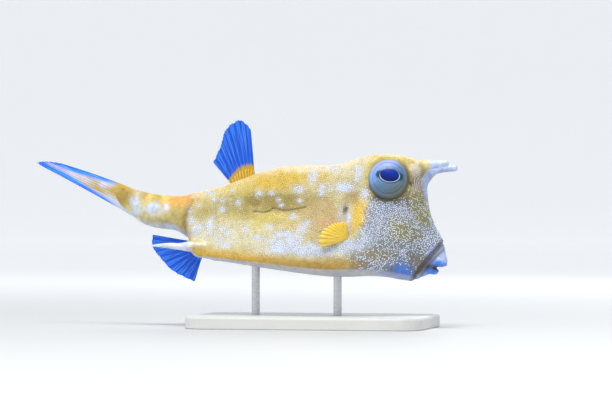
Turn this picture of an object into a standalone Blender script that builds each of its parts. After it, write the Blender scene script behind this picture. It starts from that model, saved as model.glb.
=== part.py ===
"""A longhorn cowfish, life size, swimming with its tail swung up, on a plain display stand.

The fish is drawn in its own frame in millimetres: +X towards the snout, +Y to its left and +Z up.
Three lofts run from the root of the tail fin to the lips: the tail stem, the carapace and the snout.
Each of their rings hangs between a point on the back and a point on the belly, and is a rounded box
with a corner at the back ridge and a sharper one at the belly ridge. All that grows from the flesh is
set in a pocket of its own shape. An empty then tips the whole fish into its pose above the stand.
"""

import math

import bmesh
import bpy
import numpy as np
from mathutils import Euler, Matrix, Vector

MM = 0.001
GAP = 0.3

# The swimming pose: nose a little down, right side a little up, held above the floor.
NOSE_DOWN = math.radians(5.0)
RIGHT_SIDE_UP = math.radians(4.0)
FISH_PLACE = (60.27, 2.5, 76.0)

# Where round a ring its ridges lie (0 is the back, 1 the belly), and how square and sharp it is.
ROOF_TURN = 0.30
KEEL_TURN = 0.72
BOX_POWER = 9.0
KEEL_WIDTH = 0.045
ROOF_WIDTH = 0.07
HALF_TURNS = (0, 0.1, 0.2, 0.26, 0.3, 0.345, 0.42, 0.5, 0.58, 0.645, 0.69, 0.72, 0.75, 0.81, 0.9, 1)

# Rings of the three lofts, tail first. Each has the back point (x, z), the belly point (x, z), the
# half width at the back ridge and at the belly ridge, the crown of the back and of the belly, how far
# the ring is a box (1) rather than an oval (0), the rise of the belly ridge, and the side's hollow.
STEM = (
    ((-146.5, 14.2), (-141.5, -8.2), 3.4, 3.4, 0.0, 0.0, 0.0, 0.0, 0.0),
    ((-137.0, 11.2), (-133.0, -12.4), 5.6, 5.6, 0.0, 0.0, 0.0, 0.0, 0.0),
    ((-123.0, 9.4), (-120.5, -15.2), 7.6, 8.2, 0.0, 0.0, 0.0, 0.0, 0.0),
    ((-109.0, 9.4), (-104.0, -16.4), 8.8, 10.8, 0.0, 0.0, 0.1, 0.0, 0.0),
    ((-101.3, 10.2), (-93.9, -21.4), 9.6, 14.4, 0.2, 0.0, 0.3, 0.0, 0.0),
)
CARAPACE = (
    # from the rear opening to the brow
    ((-100.9, 11.2), (-93.1, -22.6), 10.8, 16.2, 0.4, 0.0, 0.35, 0.0, 0.0),
    ((-95.5, 12.2), (-90.0, -28.4), 11.0, 21.5, 0.8, 0.2, 0.7, 0.4, 0.6),
    ((-87.5, 13.8), (-86.0, -32.2), 11.4, 25.8, 1.2, 0.4, 1.0, 1.4, 1.6),
    ((-75.0, 17.6), (-75.0, -33.6), 12.6, 28.2, 1.6, 0.8, 1.0, 1.6, 2.2),
    ((-60.0, 24.2), (-60.0, -34.2), 14.6, 30.4, 2.0, 1.2, 1.0, 1.6, 2.2),
    ((-44.0, 31.0), (-44.0, -34.8), 16.6, 32.8, 2.4, 1.6, 1.0, 1.6, 2.0),
    ((-26.0, 36.0), (-26.0, -35.4), 18.6, 35.2, 2.8, 2.0, 1.0, 1.6, 1.6),
    ((-7.0, 38.6), (-7.0, -36.0), 20.0, 36.6, 2.4, 2.2, 1.0, 1.6, 1.2),
    ((11.0, 41.0), (11.0, -36.2), 21.0, 36.6, 1.2, 2.2, 1.0, 1.5, 0.8),
    ((26.5, 47.4), (25.5, -35.2), 22.0, 35.4, -0.8, 1.8, 1.0, 1.3, 0.4),
    ((41.0, 51.6), (39.0, -33.8), 22.4, 33.0, -1.8, 1.4, 1.0, 1.0, 0.2),
    ((55.0, 52.6), (53.0, -33.8), 21.4, 29.6, -1.8, 1.2, 0.95, 0.7, 0.6),
    # the face, down to the front rim
    ((67.5, 51.0), (62.0, -35.0), 18.8, 25.6, -1.4, 0.8, 0.9, 0.4, 0.8),
    ((72.8, 46.6), (67.0, -35.6), 15.8, 22.4, -1.2, 0.4, 0.85, 0.2, 1.0),
    ((74.8, 36.5), (69.4, -36.0), 12.4, 20.4, -0.8, 0.2, 0.8, 0.0, 0.8),
    ((77.8, 21.0), (70.6, -36.2), 9.2, 18.0, -0.4, 0.0, 0.7, 0.0, 0.4),
    ((82.6, 7.0), (71.3, -36.2), 7.2, 15.6, 0.2, 0.0, 0.6, 0.0, 0.0),
    ((88.6, -2.2), (71.9, -36.0), 7.6, 13.4, 0.4, 0.0, 0.5, 0.0, 0.0),
    ((92.3, -7.4), (72.6, -35.6), 8.2, 12.0, 0.2, 0.0, 0.4, 0.0, 0.0),
)
SNOUT = (
    ((91.9, -8.8), (73.6, -34.8), 7.2, 10.8, 0.0, 0.0, 0.3, 0.0, 0.0),
    ((92.6, -11.4), (76.8, -33.4), 7.2, 9.4, 0.0, 0.0, 0.1, 0.0, 0.0),
    ((92.6, -14.2), (80.8, -31.2), 7.0, 8.0, 0.0, 0.0, 0.0, 0.0, 0.0),
    ((89.8, -17.2), (84.8, -28.9), 5.6, 6.0, 0.0, 0.0, 0.0, 0.0, 0.0),
)
HEAD_START = 9.5

# The tail bends to the fish's left behind this point, by this much over this length.
SWAY_START, SWAY, SWAY_LENGTH = -98.0, 10.0, 120.0

# Eyes: a soft ring standing out of its socket, and the ball inside it.
EYE_CENTRE = (51.6, 23.2, 33.8)
EYE_UP = math.radians(7.0)
EYE_FORWARD = math.radians(9.0)
RING_RADIUS = 14.1
RING_TOP = 4.1
RING_HOLE = 10.5
RING_DEPTH = 4.5
BALL_RISE, BALL_TOP = 1.6, 6.9
NOSTRIL = (68.4, 31.5)
NOSTRIL_RADIUS = 1.1

# Horns and belly spines: the axis from deep in the body to the tip and the radius along it. The part
# up to the split is joined to the flesh.
HORN_PATH = (
    (61.0, 13.0, 31.0), (68.0, 14.8, 38.5), (74.6, 16.4, 45.2), (80.2, 17.4, 46.8), (86.0, 18.0, 47.7), (91.0, 18.4, 48.6),
)
HORN_RADII = (8.0, 6.6, 4.7, 3.1, 2.7, 2.3)
SPINE_PATH = (
    (-72.0, 21.0, -27.0), (-80.0, 23.2, -27.2), (-87.5, 25.4, -27.2), (-95.0, 27.2, -27.9), (-104.0, 28.4, -28.1),
    (-115.0, 29.4, -29.2),
)
SPINE_RADII = (4.0, 4.8, 3.9, 2.5, 1.9, 0.45)
SPLIT = 2.0

# Gill slits, each along a row of (x, z) places on the side.
GILL = ((24.2, 11.6), (24.8, 7.2), (26.6, -1.5), (28.2, -8.6))
GILL_WIDTH = 0.9

# The lips: a row of places round the mouth, from the middle to its left corner, with its radii.
UPPER_LIP = ((90.6, 0.0, -20.0), (89.9, 2.6, -20.3), (88.2, 4.6, -21.2), (85.9, 6.0, -22.8))
UPPER_LIP_RADII = (4.8, 4.4, 3.4, 1.8)
LOWER_LIP = ((87.4, 0.0, -27.0), (86.8, 2.4, -26.9), (85.6, 4.2, -26.6), (84.1, 5.4, -26.1))
LOWER_LIP_RADII = (2.4, 2.3, 1.9, 1.3)

# Fins: how many rays, and for places across the fin the direction (degrees) and length of a ray.
MEMBRANE = 0.6
RAY_THICK = 1.15
DORSAL_RAYS, DORSAL_CENTRE = 9, (-59.5, 24.5)
DORSAL_ROOT = ((-51.4, 27.4), (-66.8, 20.0))
DORSAL_FAN = (
    (0.0, 87.2, 37.6), (0.14, 93.0, 42.0), (0.28, 99.4, 44.8), (0.42, 107.1, 43.4), (0.55, 115.2, 40.2),
    (0.68, 121.5, 36.4), (0.8, 128.5, 31.8), (0.9, 142.0, 28.4), (1.0, 154.1, 27.2),
)
ANAL_RAYS, ANAL_CENTRE = 9, (-88.5, -27.0)
ANAL_ROOT = ((-91.0, -22.6), (-84.2, -30.2))
ANAL_FAN = (
    (0.0, 169.0, 36.0), (0.18, 183.0, 34.7), (0.32, 191.6, 31.9), (0.48, 205.5, 28.0), (0.68, 227.8, 25.1),
    (0.85, 247.4, 23.4), (1.0, 270.5, 24.3),
)
PECTORAL_RAYS, PECTORAL_PLACE = 14, (25.4, -9.8)
PECTORAL_ROOT = ((2.4, 2.6), (2.0, -3.0))
PECTORAL_FAN = (
    (0.0, 92.0, 22.5), (0.33, 124.7, 27.7), (0.62, 156.6, 28.2), (0.82, 182.0, 25.5), (1.0, 209.0, 22.3),
)
PECTORAL_LOBE = ((0.0, 0.36), (0.33, 0.38), (0.62, 0.52), (0.82, 0.72), (1.0, 0.88))
PECTORAL_OUT = math.radians(25.0)
PECTORAL_LEAN = math.radians(10.0)
CAUDAL_RAYS = 10
CAUDAL_ROOT = ((-146.9, 13.4), (-141.9, -7.4))
CAUDAL_TIPS = (
    (0.0, -197.0, 25.4), (0.11, -201.4, 26.2), (0.22, -205.6, 26.6), (0.33, -209.6, 26.8), (0.44, -213.2, 26.8),
    (0.55, -216.4, 26.6), (0.67, -219.0, 26.2), (0.78, -220.6, 25.4), (0.89, -218.4, 24.0), (1.0, -214.6, 22.4),
)
CAUDAL_BOW = 2.4

# The display stand.
BASE_LENGTH, BASE_WIDTH, BASE_HEIGHT = 172.0, 100.0, 9.0
BASE_X = 56.0
BASE_CORNER = 16.0
ROD_RADIUS = 3.0
ROD_STATIONS = (5.0, 8.4)
ROD_SINK = 5.0

FLESH_YELLOW = (0.62, 0.42, 0.10)
PALE_BLUE = (0.55, 0.63, 0.86)
FIN_BLUE = (0.03, 0.16, 0.62)
LOBE_YELLOW = (0.74, 0.46, 0.02)
EYE_GREY = (0.22, 0.32, 0.46)
STEEL = (0.55, 0.56, 0.58)
BASE_WHITE = (0.80, 0.79, 0.76)


def clear_scene():
    """Takes away whatever the file opened with."""
    for obj in list(bpy.data.objects):
        bpy.data.objects.remove(obj)


def finish_of(name, colour, roughness, metallic=0.0):
    """A plain material in the real thing's colour."""
    material = bpy.data.materials.new(name)
    material.use_nodes = True
    shader = material.node_tree.nodes["Principled BSDF"]
    shader.inputs["Base Color"].default_value = (*colour, 1.0)
    shader.inputs["Roughness"].default_value = roughness
    shader.inputs["Metallic"].default_value = metallic
    return material


def through(knots, rows, places):
    """A smooth curve through rows of values set at knots, read at places."""
    at, rows = np.asarray(knots, float), np.asarray(rows, float)
    step = np.diff(at)
    rise = np.diff(rows, axis=0) / step[:, None]
    slope = np.empty_like(rows)
    slope[0], slope[-1] = rise[0], rise[-1]
    before, after = step[:-1, None], step[1:, None]
    slope[1:-1] = (rise[:-1] * after + rise[1:] * before) / (before + after)
    places = np.clip(np.asarray(places, float), at[0], at[-1])
    cell = np.clip(np.searchsorted(at, places, side="right") - 1, 0, len(step) - 1)
    width = step[cell][:, None]
    t = (places - at[cell])[:, None] / width
    return (
        rows[cell] * (1 + 2 * t) * (1 - t) ** 2
        + slope[cell] * width * t * (1 - t) ** 2
        + rows[cell + 1] * t**2 * (3 - 2 * t)
        + slope[cell + 1] * width * t**2 * (t - 1)
    )


def sway(points):
    """Swings everything behind the carapace a little to the fish's left."""
    moved = np.array(points, float)
    behind = np.clip((SWAY_START - moved[..., 0]) / SWAY_LENGTH, 0, None)
    moved[..., 1] += SWAY * behind**2
    return moved


def loft_points(loft, stations, turns):
    """Points of a loft: stations count along its rings, turns go 0 (back) to 1 (belly) to 2 (back)."""
    rows = np.array([[*back, *belly, *rest] for back, belly, *rest in loft])
    middles = (rows[:, 0:2] + rows[:, 2:4]) / 2
    reach = np.hypot(*np.diff(middles, axis=0).T) + np.abs(np.diff(rows[:, 1])) * 0.5
    along = np.concatenate([[0.0], np.cumsum(reach)])
    row = through(along, rows, np.interp(stations, np.arange(len(rows)), along))[:, :, None]
    back_x, back_z, belly_x, belly_z, roof, keel, crown, sag, boxy, rise, hollow = (row[:, i] for i in range(11))
    half = np.hypot(back_x - belly_x, back_z - belly_z) / 2
    up_x, up_z = (back_x - belly_x) / (2 * half), (back_z - belly_z) / (2 * half)
    turns = np.asarray(turns, float)
    side = np.where(turns <= 1, 1.0, -1.0)[None, :]
    turn = np.where(turns <= 1, turns, 2 - turns)[None, :]
    roof_angle, keel_angle = np.arctan2(half, roof), np.arctan2(-half, keel)
    down = np.clip((turn - ROOF_TURN) / (KEEL_TURN - ROOF_TURN), 0, 1)
    under = np.clip((turn - KEEL_TURN) / (1 - KEEL_TURN), 0, 1)
    over = np.clip(1 - turn / ROOF_TURN, 0, 1)
    angle = np.where(
        turn < ROOF_TURN,
        roof_angle + (math.pi / 2 - roof_angle) * over,
        roof_angle + (keel_angle - roof_angle) * down + (-math.pi / 2 - keel_angle) * under,
    )
    cos, sin = np.cos(angle), np.sin(angle)
    lean = np.hypot(2 * half, keel - roof)
    reach = half * (roof + keel) / lean
    pull = np.clip(cos * 2 * half + sin * (keel - roof), 0, None) / lean / reach
    box = ((np.abs(sin) / half) ** BOX_POWER + pull**BOX_POWER) ** (-1 / BOX_POWER)
    oval = 1 / np.sqrt((2 * cos / (roof + keel)) ** 2 + (sin / half) ** 2)
    radius = oval + (box - oval) * boxy
    radius = radius + rise * np.exp(-(((turn - KEEL_TURN) / KEEL_WIDTH) ** 2))
    radius = radius + 0.5 * rise * np.exp(-(((turn - ROOF_TURN) / ROOF_WIDTH) ** 2))
    across = radius * cos - hollow * np.sin(math.pi * down) ** 2
    above = radius * sin + crown * over**1.2 - sag * np.sin(math.pi / 2 * under)
    middle_x, middle_z = (back_x + belly_x) / 2, (back_z + belly_z) / 2
    return sway(np.stack([middle_x + up_x * above, across * side, middle_z + up_z * above], axis=-1))


def skin_at(x, z, side):
    """The place and outward normal of the carapace's side seen at x and z."""
    stations = np.arange(0.0, len(CARAPACE) - 1, 0.04)
    turns = np.arange(0.2, 0.8, 0.008)
    grid = loft_points(CARAPACE, stations, turns)
    i, j = np.unravel_index(np.argmin(np.hypot(grid[..., 0] - x, grid[..., 2] - z)), grid.shape[:2])
    i, j = min(max(i, 1), len(stations) - 2), min(max(j, 1), len(turns) - 2)
    normal = np.cross(grid[i, j + 1] - grid[i, j - 1], grid[i + 1, j] - grid[i - 1, j])
    normal *= np.sign(normal[1]) / np.linalg.norm(normal)
    return grid[i, j] * (1, side, 1), normal * (1, side, 1)


def new_object(name, points, faces, material, pose, helper=False):
    """A closed mesh object from points in millimetres, its faces turned outwards."""
    mesh = bpy.data.meshes.new(name)
    mesh.from_pydata([tuple(float(c) * MM for c in p) for p in points], [], faces)
    work = bmesh.new()
    work.from_mesh(mesh)
    bmesh.ops.recalc_face_normals(work, faces=work.faces)
    work.to_mesh(mesh)
    work.free()
    mesh.shade_smooth()
    mesh.set_sharp_from_angle(angle=math.radians(40))
    if material:
        mesh.materials.append(material)
    obj = bpy.data.objects.new(name, mesh)
    bpy.context.scene.collection.objects.link(obj)
    obj.parent = pose
    if helper:
        obj.hide_render = True
        obj.display_type = "WIRE"
    return obj


def pocket_for(obj):
    """A helper of the object's own shape, larger by the gap all round."""
    work = bmesh.new()
    work.from_mesh(obj.data)
    work.normal_update()
    moves = [vert.normal * min(vert.calc_shell_factor(), 2.0) * GAP * MM for vert in work.verts]
    for vert, move in zip(work.verts, moves):
        vert.co += move
    mesh = bpy.data.meshes.new(obj.name + "_pocket")
    work.to_mesh(mesh)
    work.free()
    pocket = bpy.data.objects.new(mesh.name, mesh)
    bpy.context.scene.collection.objects.link(pocket)
    pocket.parent = obj.parent
    pocket.hide_render = True
    pocket.display_type = "WIRE"
    return pocket


def tube_faces(rings, sides):
    """Faces of a closed tube of rings, with a flat cap at each end."""
    faces = [tuple(reversed(range(sides)))]
    for i in range(rings - 1):
        for j in range(sides):
            k = (j + 1) % sides
            faces.append((i * sides + j, i * sides + k, (i + 1) * sides + k, (i + 1) * sides + j))
    faces.append(tuple(range((rings - 1) * sides, rings * sides)))
    return faces


def boolean(target, others, operation, name):
    """Joins or cuts target with closed helper meshes."""
    group = bpy.data.collections.new(name)
    for other in others:
        group.objects.link(other)
    modifier = target.modifiers.new(name, "BOOLEAN")
    modifier.operation = operation
    modifier.operand_type = "COLLECTION"
    modifier.collection = group
    modifier.solver = "EXACT"


def flesh(name, loft, stations, material, pose, trim=0.0):
    """A closed length of a loft. The trim draws its front end back by that many millimetres."""
    turns = np.array([*HALF_TURNS, *(2 - t for t in reversed(HALF_TURNS[1:-1]))])
    grid = loft_points(loft, stations, turns)
    third = len(turns) // 3
    square = np.cross(grid[-1][third] - grid[-1][0], grid[-1][-third] - grid[-1][0])
    square *= np.sign(square @ (grid[-2].mean(axis=0) - grid[-1].mean(axis=0))) / np.linalg.norm(square)
    grid[-1] += square * trim
    return new_object(name, grid.reshape(-1, 3), tube_faces(len(stations), len(turns)), material, pose)


def swept(path, radii, sides):
    """Rings of a round tube along a path, each square to it."""
    along = np.gradient(path, axis=0)
    along /= np.linalg.norm(along, axis=1)[:, None]
    across = np.cross(along, (0.0, 0.0, 1.0))
    across /= np.linalg.norm(across, axis=1)[:, None]
    above = np.cross(across, along)
    turn = (np.arange(sides) * 2 * math.pi / sides)[None, :, None]
    ring = np.cos(turn) * across[:, None, :] + np.sin(turn) * above[:, None, :]
    return path[:, None, :] + np.asarray(radii, float)[:, None, None] * ring


def domed(rings, path, radii, ends):
    """The rings of a tube with a blunt dome added at the ends asked for (0 is the first, -1 the last)."""
    rings = list(rings)
    for end in ends:
        middle, ring, radius = path[end], rings[end], radii[end]
        out = middle - path[1 if end == 0 else -2]
        out /= np.linalg.norm(out)
        for share, reach in ((0.85, 0.5), (0.45, 0.86)):
            cap = middle + (ring - middle) * share + out * radius * reach
            rings.insert(0 if end == 0 else len(rings), cap)
    return np.array(rings)


def tube(name, rings, material, pose, helper=False):
    """A closed tube from its rings."""
    return new_object(name, rings.reshape(-1, 3), tube_faces(*rings.shape[:2]), material, pose, helper)


def outgrowth(name, path, radii, side, material, pose):
    """A horn or spine: the root that is joined to the flesh, and the free part beyond the split."""
    rows = np.column_stack([np.asarray(path, float) * (1, side, 1), radii])
    root = through(range(len(rows)), rows, np.linspace(0, SPLIT, 5))
    free = through(range(len(rows)), rows, np.linspace(SPLIT, len(rows) - 1, 8))
    stump = swept(root[:, :3], root[:, 3], 12)
    rings = swept(free[:, :3], free[:, 3], 12)
    ahead = free[1, :3] - free[0, :3]
    rings[0] = stump[-1] + GAP * ahead / np.linalg.norm(ahead)
    tube(name, domed(rings, free[:, :3], free[:, 3], (-1,)), material, pose)
    return tube(name + "_root", stump, None, pose, helper=True)


def lip(name, places, radii, material, pose):
    """One lip: a roll round the front of the mouth, thinning to its corners."""
    half = through(range(len(places)), np.column_stack([places, radii]), np.linspace(0, len(places) - 1, 6))
    rows = np.concatenate([half[::-1] * (1, -1, 1, 1), half[1:]])
    rings = domed(swept(rows[:, :3], rows[:, 3], 12), rows[:, :3], rows[:, 3], (0, -1))
    return tube(name, rings, material, pose)


def turned(name, profile, sides, place, material, pose, helper=False):
    """A turned solid from (radius, height) pairs, or a turned ring if its section is closed round a hole."""
    points = [
        place @ Vector((r * math.cos(2 * math.pi * i / sides), r * math.sin(2 * math.pi * i / sides), h))
        for r, h in profile
        for i in range(sides)
    ]
    faces = tube_faces(len(profile), sides)
    if profile[0][1] > profile[-1][1]:
        last = (len(profile) - 1) * sides
        faces = faces[1:-1]
        faces += [(last + j, last + (j + 1) % sides, (j + 1) % sides, j) for j in range(sides)]
    return new_object(name, points, faces, material, pose, helper)


def frame_at(place, out, ahead=(1, 0, 0)):
    """A frame at a place whose Z axis points out and whose X axis points ahead."""
    out = Vector(out).normalized()
    ahead = Vector(ahead)
    ahead = (ahead - out * ahead.dot(out)).normalized()
    return Matrix.Translation(place) @ Matrix((ahead, out.cross(ahead), out)).transposed().to_4x4()


def add_eyes(materials, pose):
    """Both eyes. Returns the cutters for their sockets."""
    ring = (
        (RING_HOLE, RING_TOP - 1.7), (RING_HOLE + 0.5, RING_TOP - 0.6), (RING_HOLE + 1.4, RING_TOP),
        (RING_RADIUS - 1.2, RING_TOP - 0.5), (RING_RADIUS - 0.4, RING_TOP - 1.9), (RING_RADIUS, RING_TOP - 3.7),
        (RING_RADIUS, -RING_DEPTH), (RING_HOLE, -RING_DEPTH - 0.01),
    )
    radius, height = RING_HOLE - GAP, BALL_TOP - BALL_RISE
    arc = [(radius * math.cos(a), BALL_RISE + height * math.sin(a)) for a in np.radians((0, 18, 36, 54, 68, 80))]
    cutters = []
    for side, word in ((-1, "right"), (1, "left")):
        out = (math.sin(EYE_FORWARD), side * math.cos(EYE_UP), math.sin(EYE_UP))
        frame = frame_at(Vector(EYE_CENTRE) * Vector((1, side, 1)), out)
        turned("eye_ring_" + word, ring, 24, frame, materials["pale"], pose)
        turned("eye_" + word, [(radius, -RING_DEPTH), *arc], 20, frame, materials["eye"], pose)
        drum = ((RING_RADIUS + GAP, -RING_DEPTH - GAP), (RING_RADIUS + GAP, 12.0))
        cutters.append(turned("eye_socket_" + word, drum, 24, frame, None, pose, helper=True))
    return cutters


def add_nostrils(pose):
    """Cutters for the two nostrils."""
    cutters = []
    for side, word in ((-1, "right"), (1, "left")):
        place, out = skin_at(*NOSTRIL, side)
        profile = ((NOSTRIL_RADIUS * 0.6, -1.3), (NOSTRIL_RADIUS, -0.5), (NOSTRIL_RADIUS, 2.0))
        cutters.append(turned("nostril_" + word, profile, 10, frame_at(place, out), None, pose, helper=True))
    return cutters


def add_gills(pose):
    """Cutters for the two gill slits."""
    cutters = []
    for side, word in ((-1, "right"), (1, "left")):
        path = np.array([skin_at(x, z, side)[0] for x, z in GILL])
        rows = through(range(len(path)), path, np.linspace(0, len(path) - 1, 8))
        radii = np.full(len(rows), GILL_WIDTH)
        along = np.gradient(rows, axis=0)
        across = np.cross(along, (0.0, 1.0, 0.0))
        across /= np.linalg.norm(across, axis=1)[:, None]
        out = np.cross(across, along)
        out /= np.linalg.norm(out, axis=1)[:, None]
        turn = (np.arange(8) * math.pi / 4)[None, :, None]
        rings = rows[:, None, :] + GILL_WIDTH * (np.cos(turn) * across[:, None, :] + np.sin(turn) * out[:, None, :])
        cutters.append(tube("gill_" + word, domed(rings, rows, radii, (0, -1)), None, pose, helper=True))
    return cutters


def fin_body(root, tips, columns, starts, ends, count, thick, lift, bow=0.0):
    """A closed thin body in a fin's own plane, triangulated alike on both faces.

    root and tips give a point for a place across the fin (0 to 1), columns are such places with a mark
    for those that lie on a ray, starts and ends are the shares of a ray's length that the body covers, and
    bow lifts the middle of every ray."""
    points = []
    for face in (0.5, -0.5):
        for u, ray in columns:
            near, far = root(u), tips(u)
            for k in range(count):
                v = starts(u) + (ends(u, ray) - starts(u)) * k / (count - 1)
                flat = near + (far - near) * v
                points.append((flat[0], flat[1] + bow * 4 * v * (1 - v), lift(u, v) + face * thick(u, v, ray)))
    wide, size, faces = len(columns), len(columns) * count, []
    for c in range(wide - 1):
        for k in range(count - 1):
            a, b = c * count + k, c * count + k + 1
            d, e = a + count, b + count
            faces += [(a, b, e), (a, e, d), (e + size, b + size, a + size), (d + size, e + size, a + size)]
    edge = [c * count for c in range(wide)] + [(wide - 1) * count + k for k in range(1, count)]
    edge += [c * count + count - 1 for c in range(wide - 2, -1, -1)] + list(range(count - 2, 0, -1))
    for first, second in zip(edge, edge[1:] + edge[:1]):
        faces += [(first, second, second + size), (first, second + size, first + size)]
    return points, faces


def ray_columns(rays):
    """Places across a fin: one on every ray and two on the membrane between."""
    columns = []
    for i in range(rays - 1):
        columns += [(i / (rays - 1), True), ((i + 0.3) / (rays - 1), False), ((i + 0.7) / (rays - 1), False)]
    return columns + [(1.0, True)]


def ray_thick(u, v, ray):
    """How thick a fin is on a ray or on the membrane, thinning outwards."""
    return (RAY_THICK if ray else MEMBRANE) * (1 - 0.15 * v)


def fin(name, root_line, tip_of, rays, lobe_of, lobe_thick, lift, place, materials, pose):
    """A fin of two bodies, its fleshy lobe and its rays. Returns the pocket for the lobe."""
    first, last = (np.array(p) for p in root_line)

    def root(u):
        return first + (last - first) * u

    def tips(u):
        return np.array(tip_of(u))

    def lobe_thickness(u, v, ray):
        ease = math.sqrt(max(0.0, 1 - (v / lobe_of(u)) ** 2.4)) * (1 - abs(2 * u - 1) ** 6 * 0.6)
        return ray_thick(u, lobe_of(u), True) + 0.1 + lobe_thick * ease

    def past_lobe(u):
        return lobe_of(u) + GAP / np.linalg.norm(tips(u) - root(u))

    lobe_columns = [(u, False) for u in np.linspace(0, 1, rays if rays < 12 else 11)]
    bodies = (
        ("_base", "lobe", fin_body(root, tips, lobe_columns, lambda u: 0.0, lambda u, r: lobe_of(u), 6, lobe_thickness, lift)),
        ("", "fin", fin_body(root, tips, ray_columns(rays), past_lobe, lambda u, r: 1.0 if r else 0.95, 5, ray_thick, lift)),
    )
    made = []
    for suffix, finish, (points, faces) in bodies:
        placed = sway([place @ Vector(p) for p in points])
        made.append(new_object(name + suffix, placed, faces, materials[finish], pose))
    return pocket_for(made[0])


def fan_tip(centre, knots):
    """The function of ray tips for a fan, from its knots (place, degrees, length)."""
    places, rows = [k[0] for k in knots], [k[1:] for k in knots]

    def tip_of(u):
        degrees, reach = through(places, rows, [u])[0]
        return centre[0] + reach * math.cos(math.radians(degrees)), centre[1] + reach * math.sin(math.radians(degrees))

    return tip_of


def add_fins(materials, pose):
    """All the fins. Returns the pockets that their lobes need in the trunk."""
    upright = Matrix(((1, 0, 0, 0), (0, 0, -1, 0), (0, 1, 0, 0), (0, 0, 0, 1)))
    pockets = [
        fin("dorsal_fin", DORSAL_ROOT, fan_tip(DORSAL_CENTRE, DORSAL_FAN), DORSAL_RAYS, lambda u: 0.27 + 0.06 * u,
            6.0, lambda u, v: 1.2 * math.sin(3 * u + 1) * v * v, upright, materials, pose),
        fin("anal_fin", ANAL_ROOT, fan_tip(ANAL_CENTRE, ANAL_FAN), ANAL_RAYS, lambda u: 0.24 + 0.1 * u,
            4.0, lambda u, v: -1.0 * math.sin(3 * u) * v * v, upright, materials, pose),
    ]
    lobe_places, lobe_rows = [k[0] for k in PECTORAL_LOBE], [[k[1]] for k in PECTORAL_LOBE]
    for side, word in ((-1, "right"), (1, "left")):
        place, _ = skin_at(*PECTORAL_PLACE, -1)
        up = Vector((0, -math.sin(PECTORAL_LEAN), math.cos(PECTORAL_LEAN)))
        ahead = Vector((math.cos(PECTORAL_OUT), math.sin(PECTORAL_OUT), 0))
        frame = Matrix.Diagonal((1, -side, 1, 1)) @ Matrix.Translation(place)
        frame = frame @ Matrix((ahead, up, ahead.cross(up).normalized())).transposed().to_4x4()
        pockets.append(
            fin("pectoral_fin_" + word, PECTORAL_ROOT, fan_tip((0, 0), PECTORAL_FAN), PECTORAL_RAYS,
                lambda u: float(through(lobe_places, lobe_rows, [u])[0, 0]), 3.2,
                lambda u, v: 1.5 * math.sin(math.pi * v), frame, materials, pose)
        )
    return pockets


def add_tail(materials, pose):
    """The closed fan of the tail fin, on the end of the stem."""
    first, last = (np.array(p) for p in CAUDAL_ROOT)
    places, rows = [k[0] for k in CAUDAL_TIPS], [k[1:] for k in CAUDAL_TIPS]
    upright = Matrix(((1, 0, 0, 0), (0, 0, -1, 0), (0, 1, 0, 0), (0, 0, 0, 1)))

    def thick(u, v, ray):
        return (0.9 + 5.0 * math.exp(-5.0 * v)) * (1 - 0.45 * abs(2 * u - 1) ** 2) + (RAY_THICK - MEMBRANE if ray else 0)

    points, faces = fin_body(
        lambda u: first + (last - first) * u, lambda u: through(places, rows, [u])[0], ray_columns(CAUDAL_RAYS),
        lambda u: 0.0, lambda u, r: 1.0 if r else 0.985, 8, thick, lambda u, v: 0.0, CAUDAL_BOW,
    )
    new_object("caudal_fin", sway([upright @ Vector(p) for p in points]), faces, materials["fin"], pose)


def slab_points(length, width, corner, rings):
    """Rings of a slab with rounded corners, each ring an inset and a height."""
    points = []
    for inset, height in rings:
        radius = corner - inset
        for quarter, (sx, sy) in enumerate(((1, 1), (-1, 1), (-1, -1), (1, -1))):
            for step in range(6):
                turn = math.radians(90 * quarter + 18 * step)
                x = sx * (length / 2 - corner) + radius * math.cos(turn)
                points.append((BASE_X + x, sy * (width / 2 - corner) + radius * math.sin(turn), height))
    return points


def add_stand(materials, pose, trunk):
    """The slab and its two rods. Returns the cutters for the rods' seats in the belly."""
    top = BASE_HEIGHT
    rings = ((0.8, 0.0), (0.0, 0.8), (0.0, top - 1.6), (0.5, top - 0.5), (1.6, top))
    points = slab_points(BASE_LENGTH, BASE_WIDTH, BASE_CORNER, rings)
    base = new_object("stand_base", points, tube_faces(len(rings), 24), materials["white"], None)
    feet, seats = [], []
    stance = Matrix.Translation(FISH_PLACE) @ Euler((-RIGHT_SIDE_UP, NOSE_DOWN, 0.0)).to_matrix().to_4x4()
    for station, word in zip(ROD_STATIONS, ("rear", "front")):
        belly = stance @ Vector(loft_points(CARAPACE, (station,), (1.0,))[0, 0])
        place = Matrix.Translation((belly.x, belly.y, 0))
        low, high = top - ROD_SINK, belly.z + ROD_SINK
        ends = ((ROD_RADIUS - 0.4, low), (ROD_RADIUS, low + 0.4), (ROD_RADIUS, high - 0.4), (ROD_RADIUS - 0.4, high))
        turned("stand_rod_" + word, ends, 20, place, materials["steel"], None)
        wide = ROD_RADIUS + GAP
        feet.append(turned("foot_" + word, ((wide, low - GAP), (wide, top + 5)), 20, place, None, None, helper=True))
        seats.append(turned("seat_" + word, ((wide, top + 5), (wide, high + GAP)), 20, place, None, None, helper=True))
    boolean(base, feet, "DIFFERENCE", "feet")
    return seats


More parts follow.
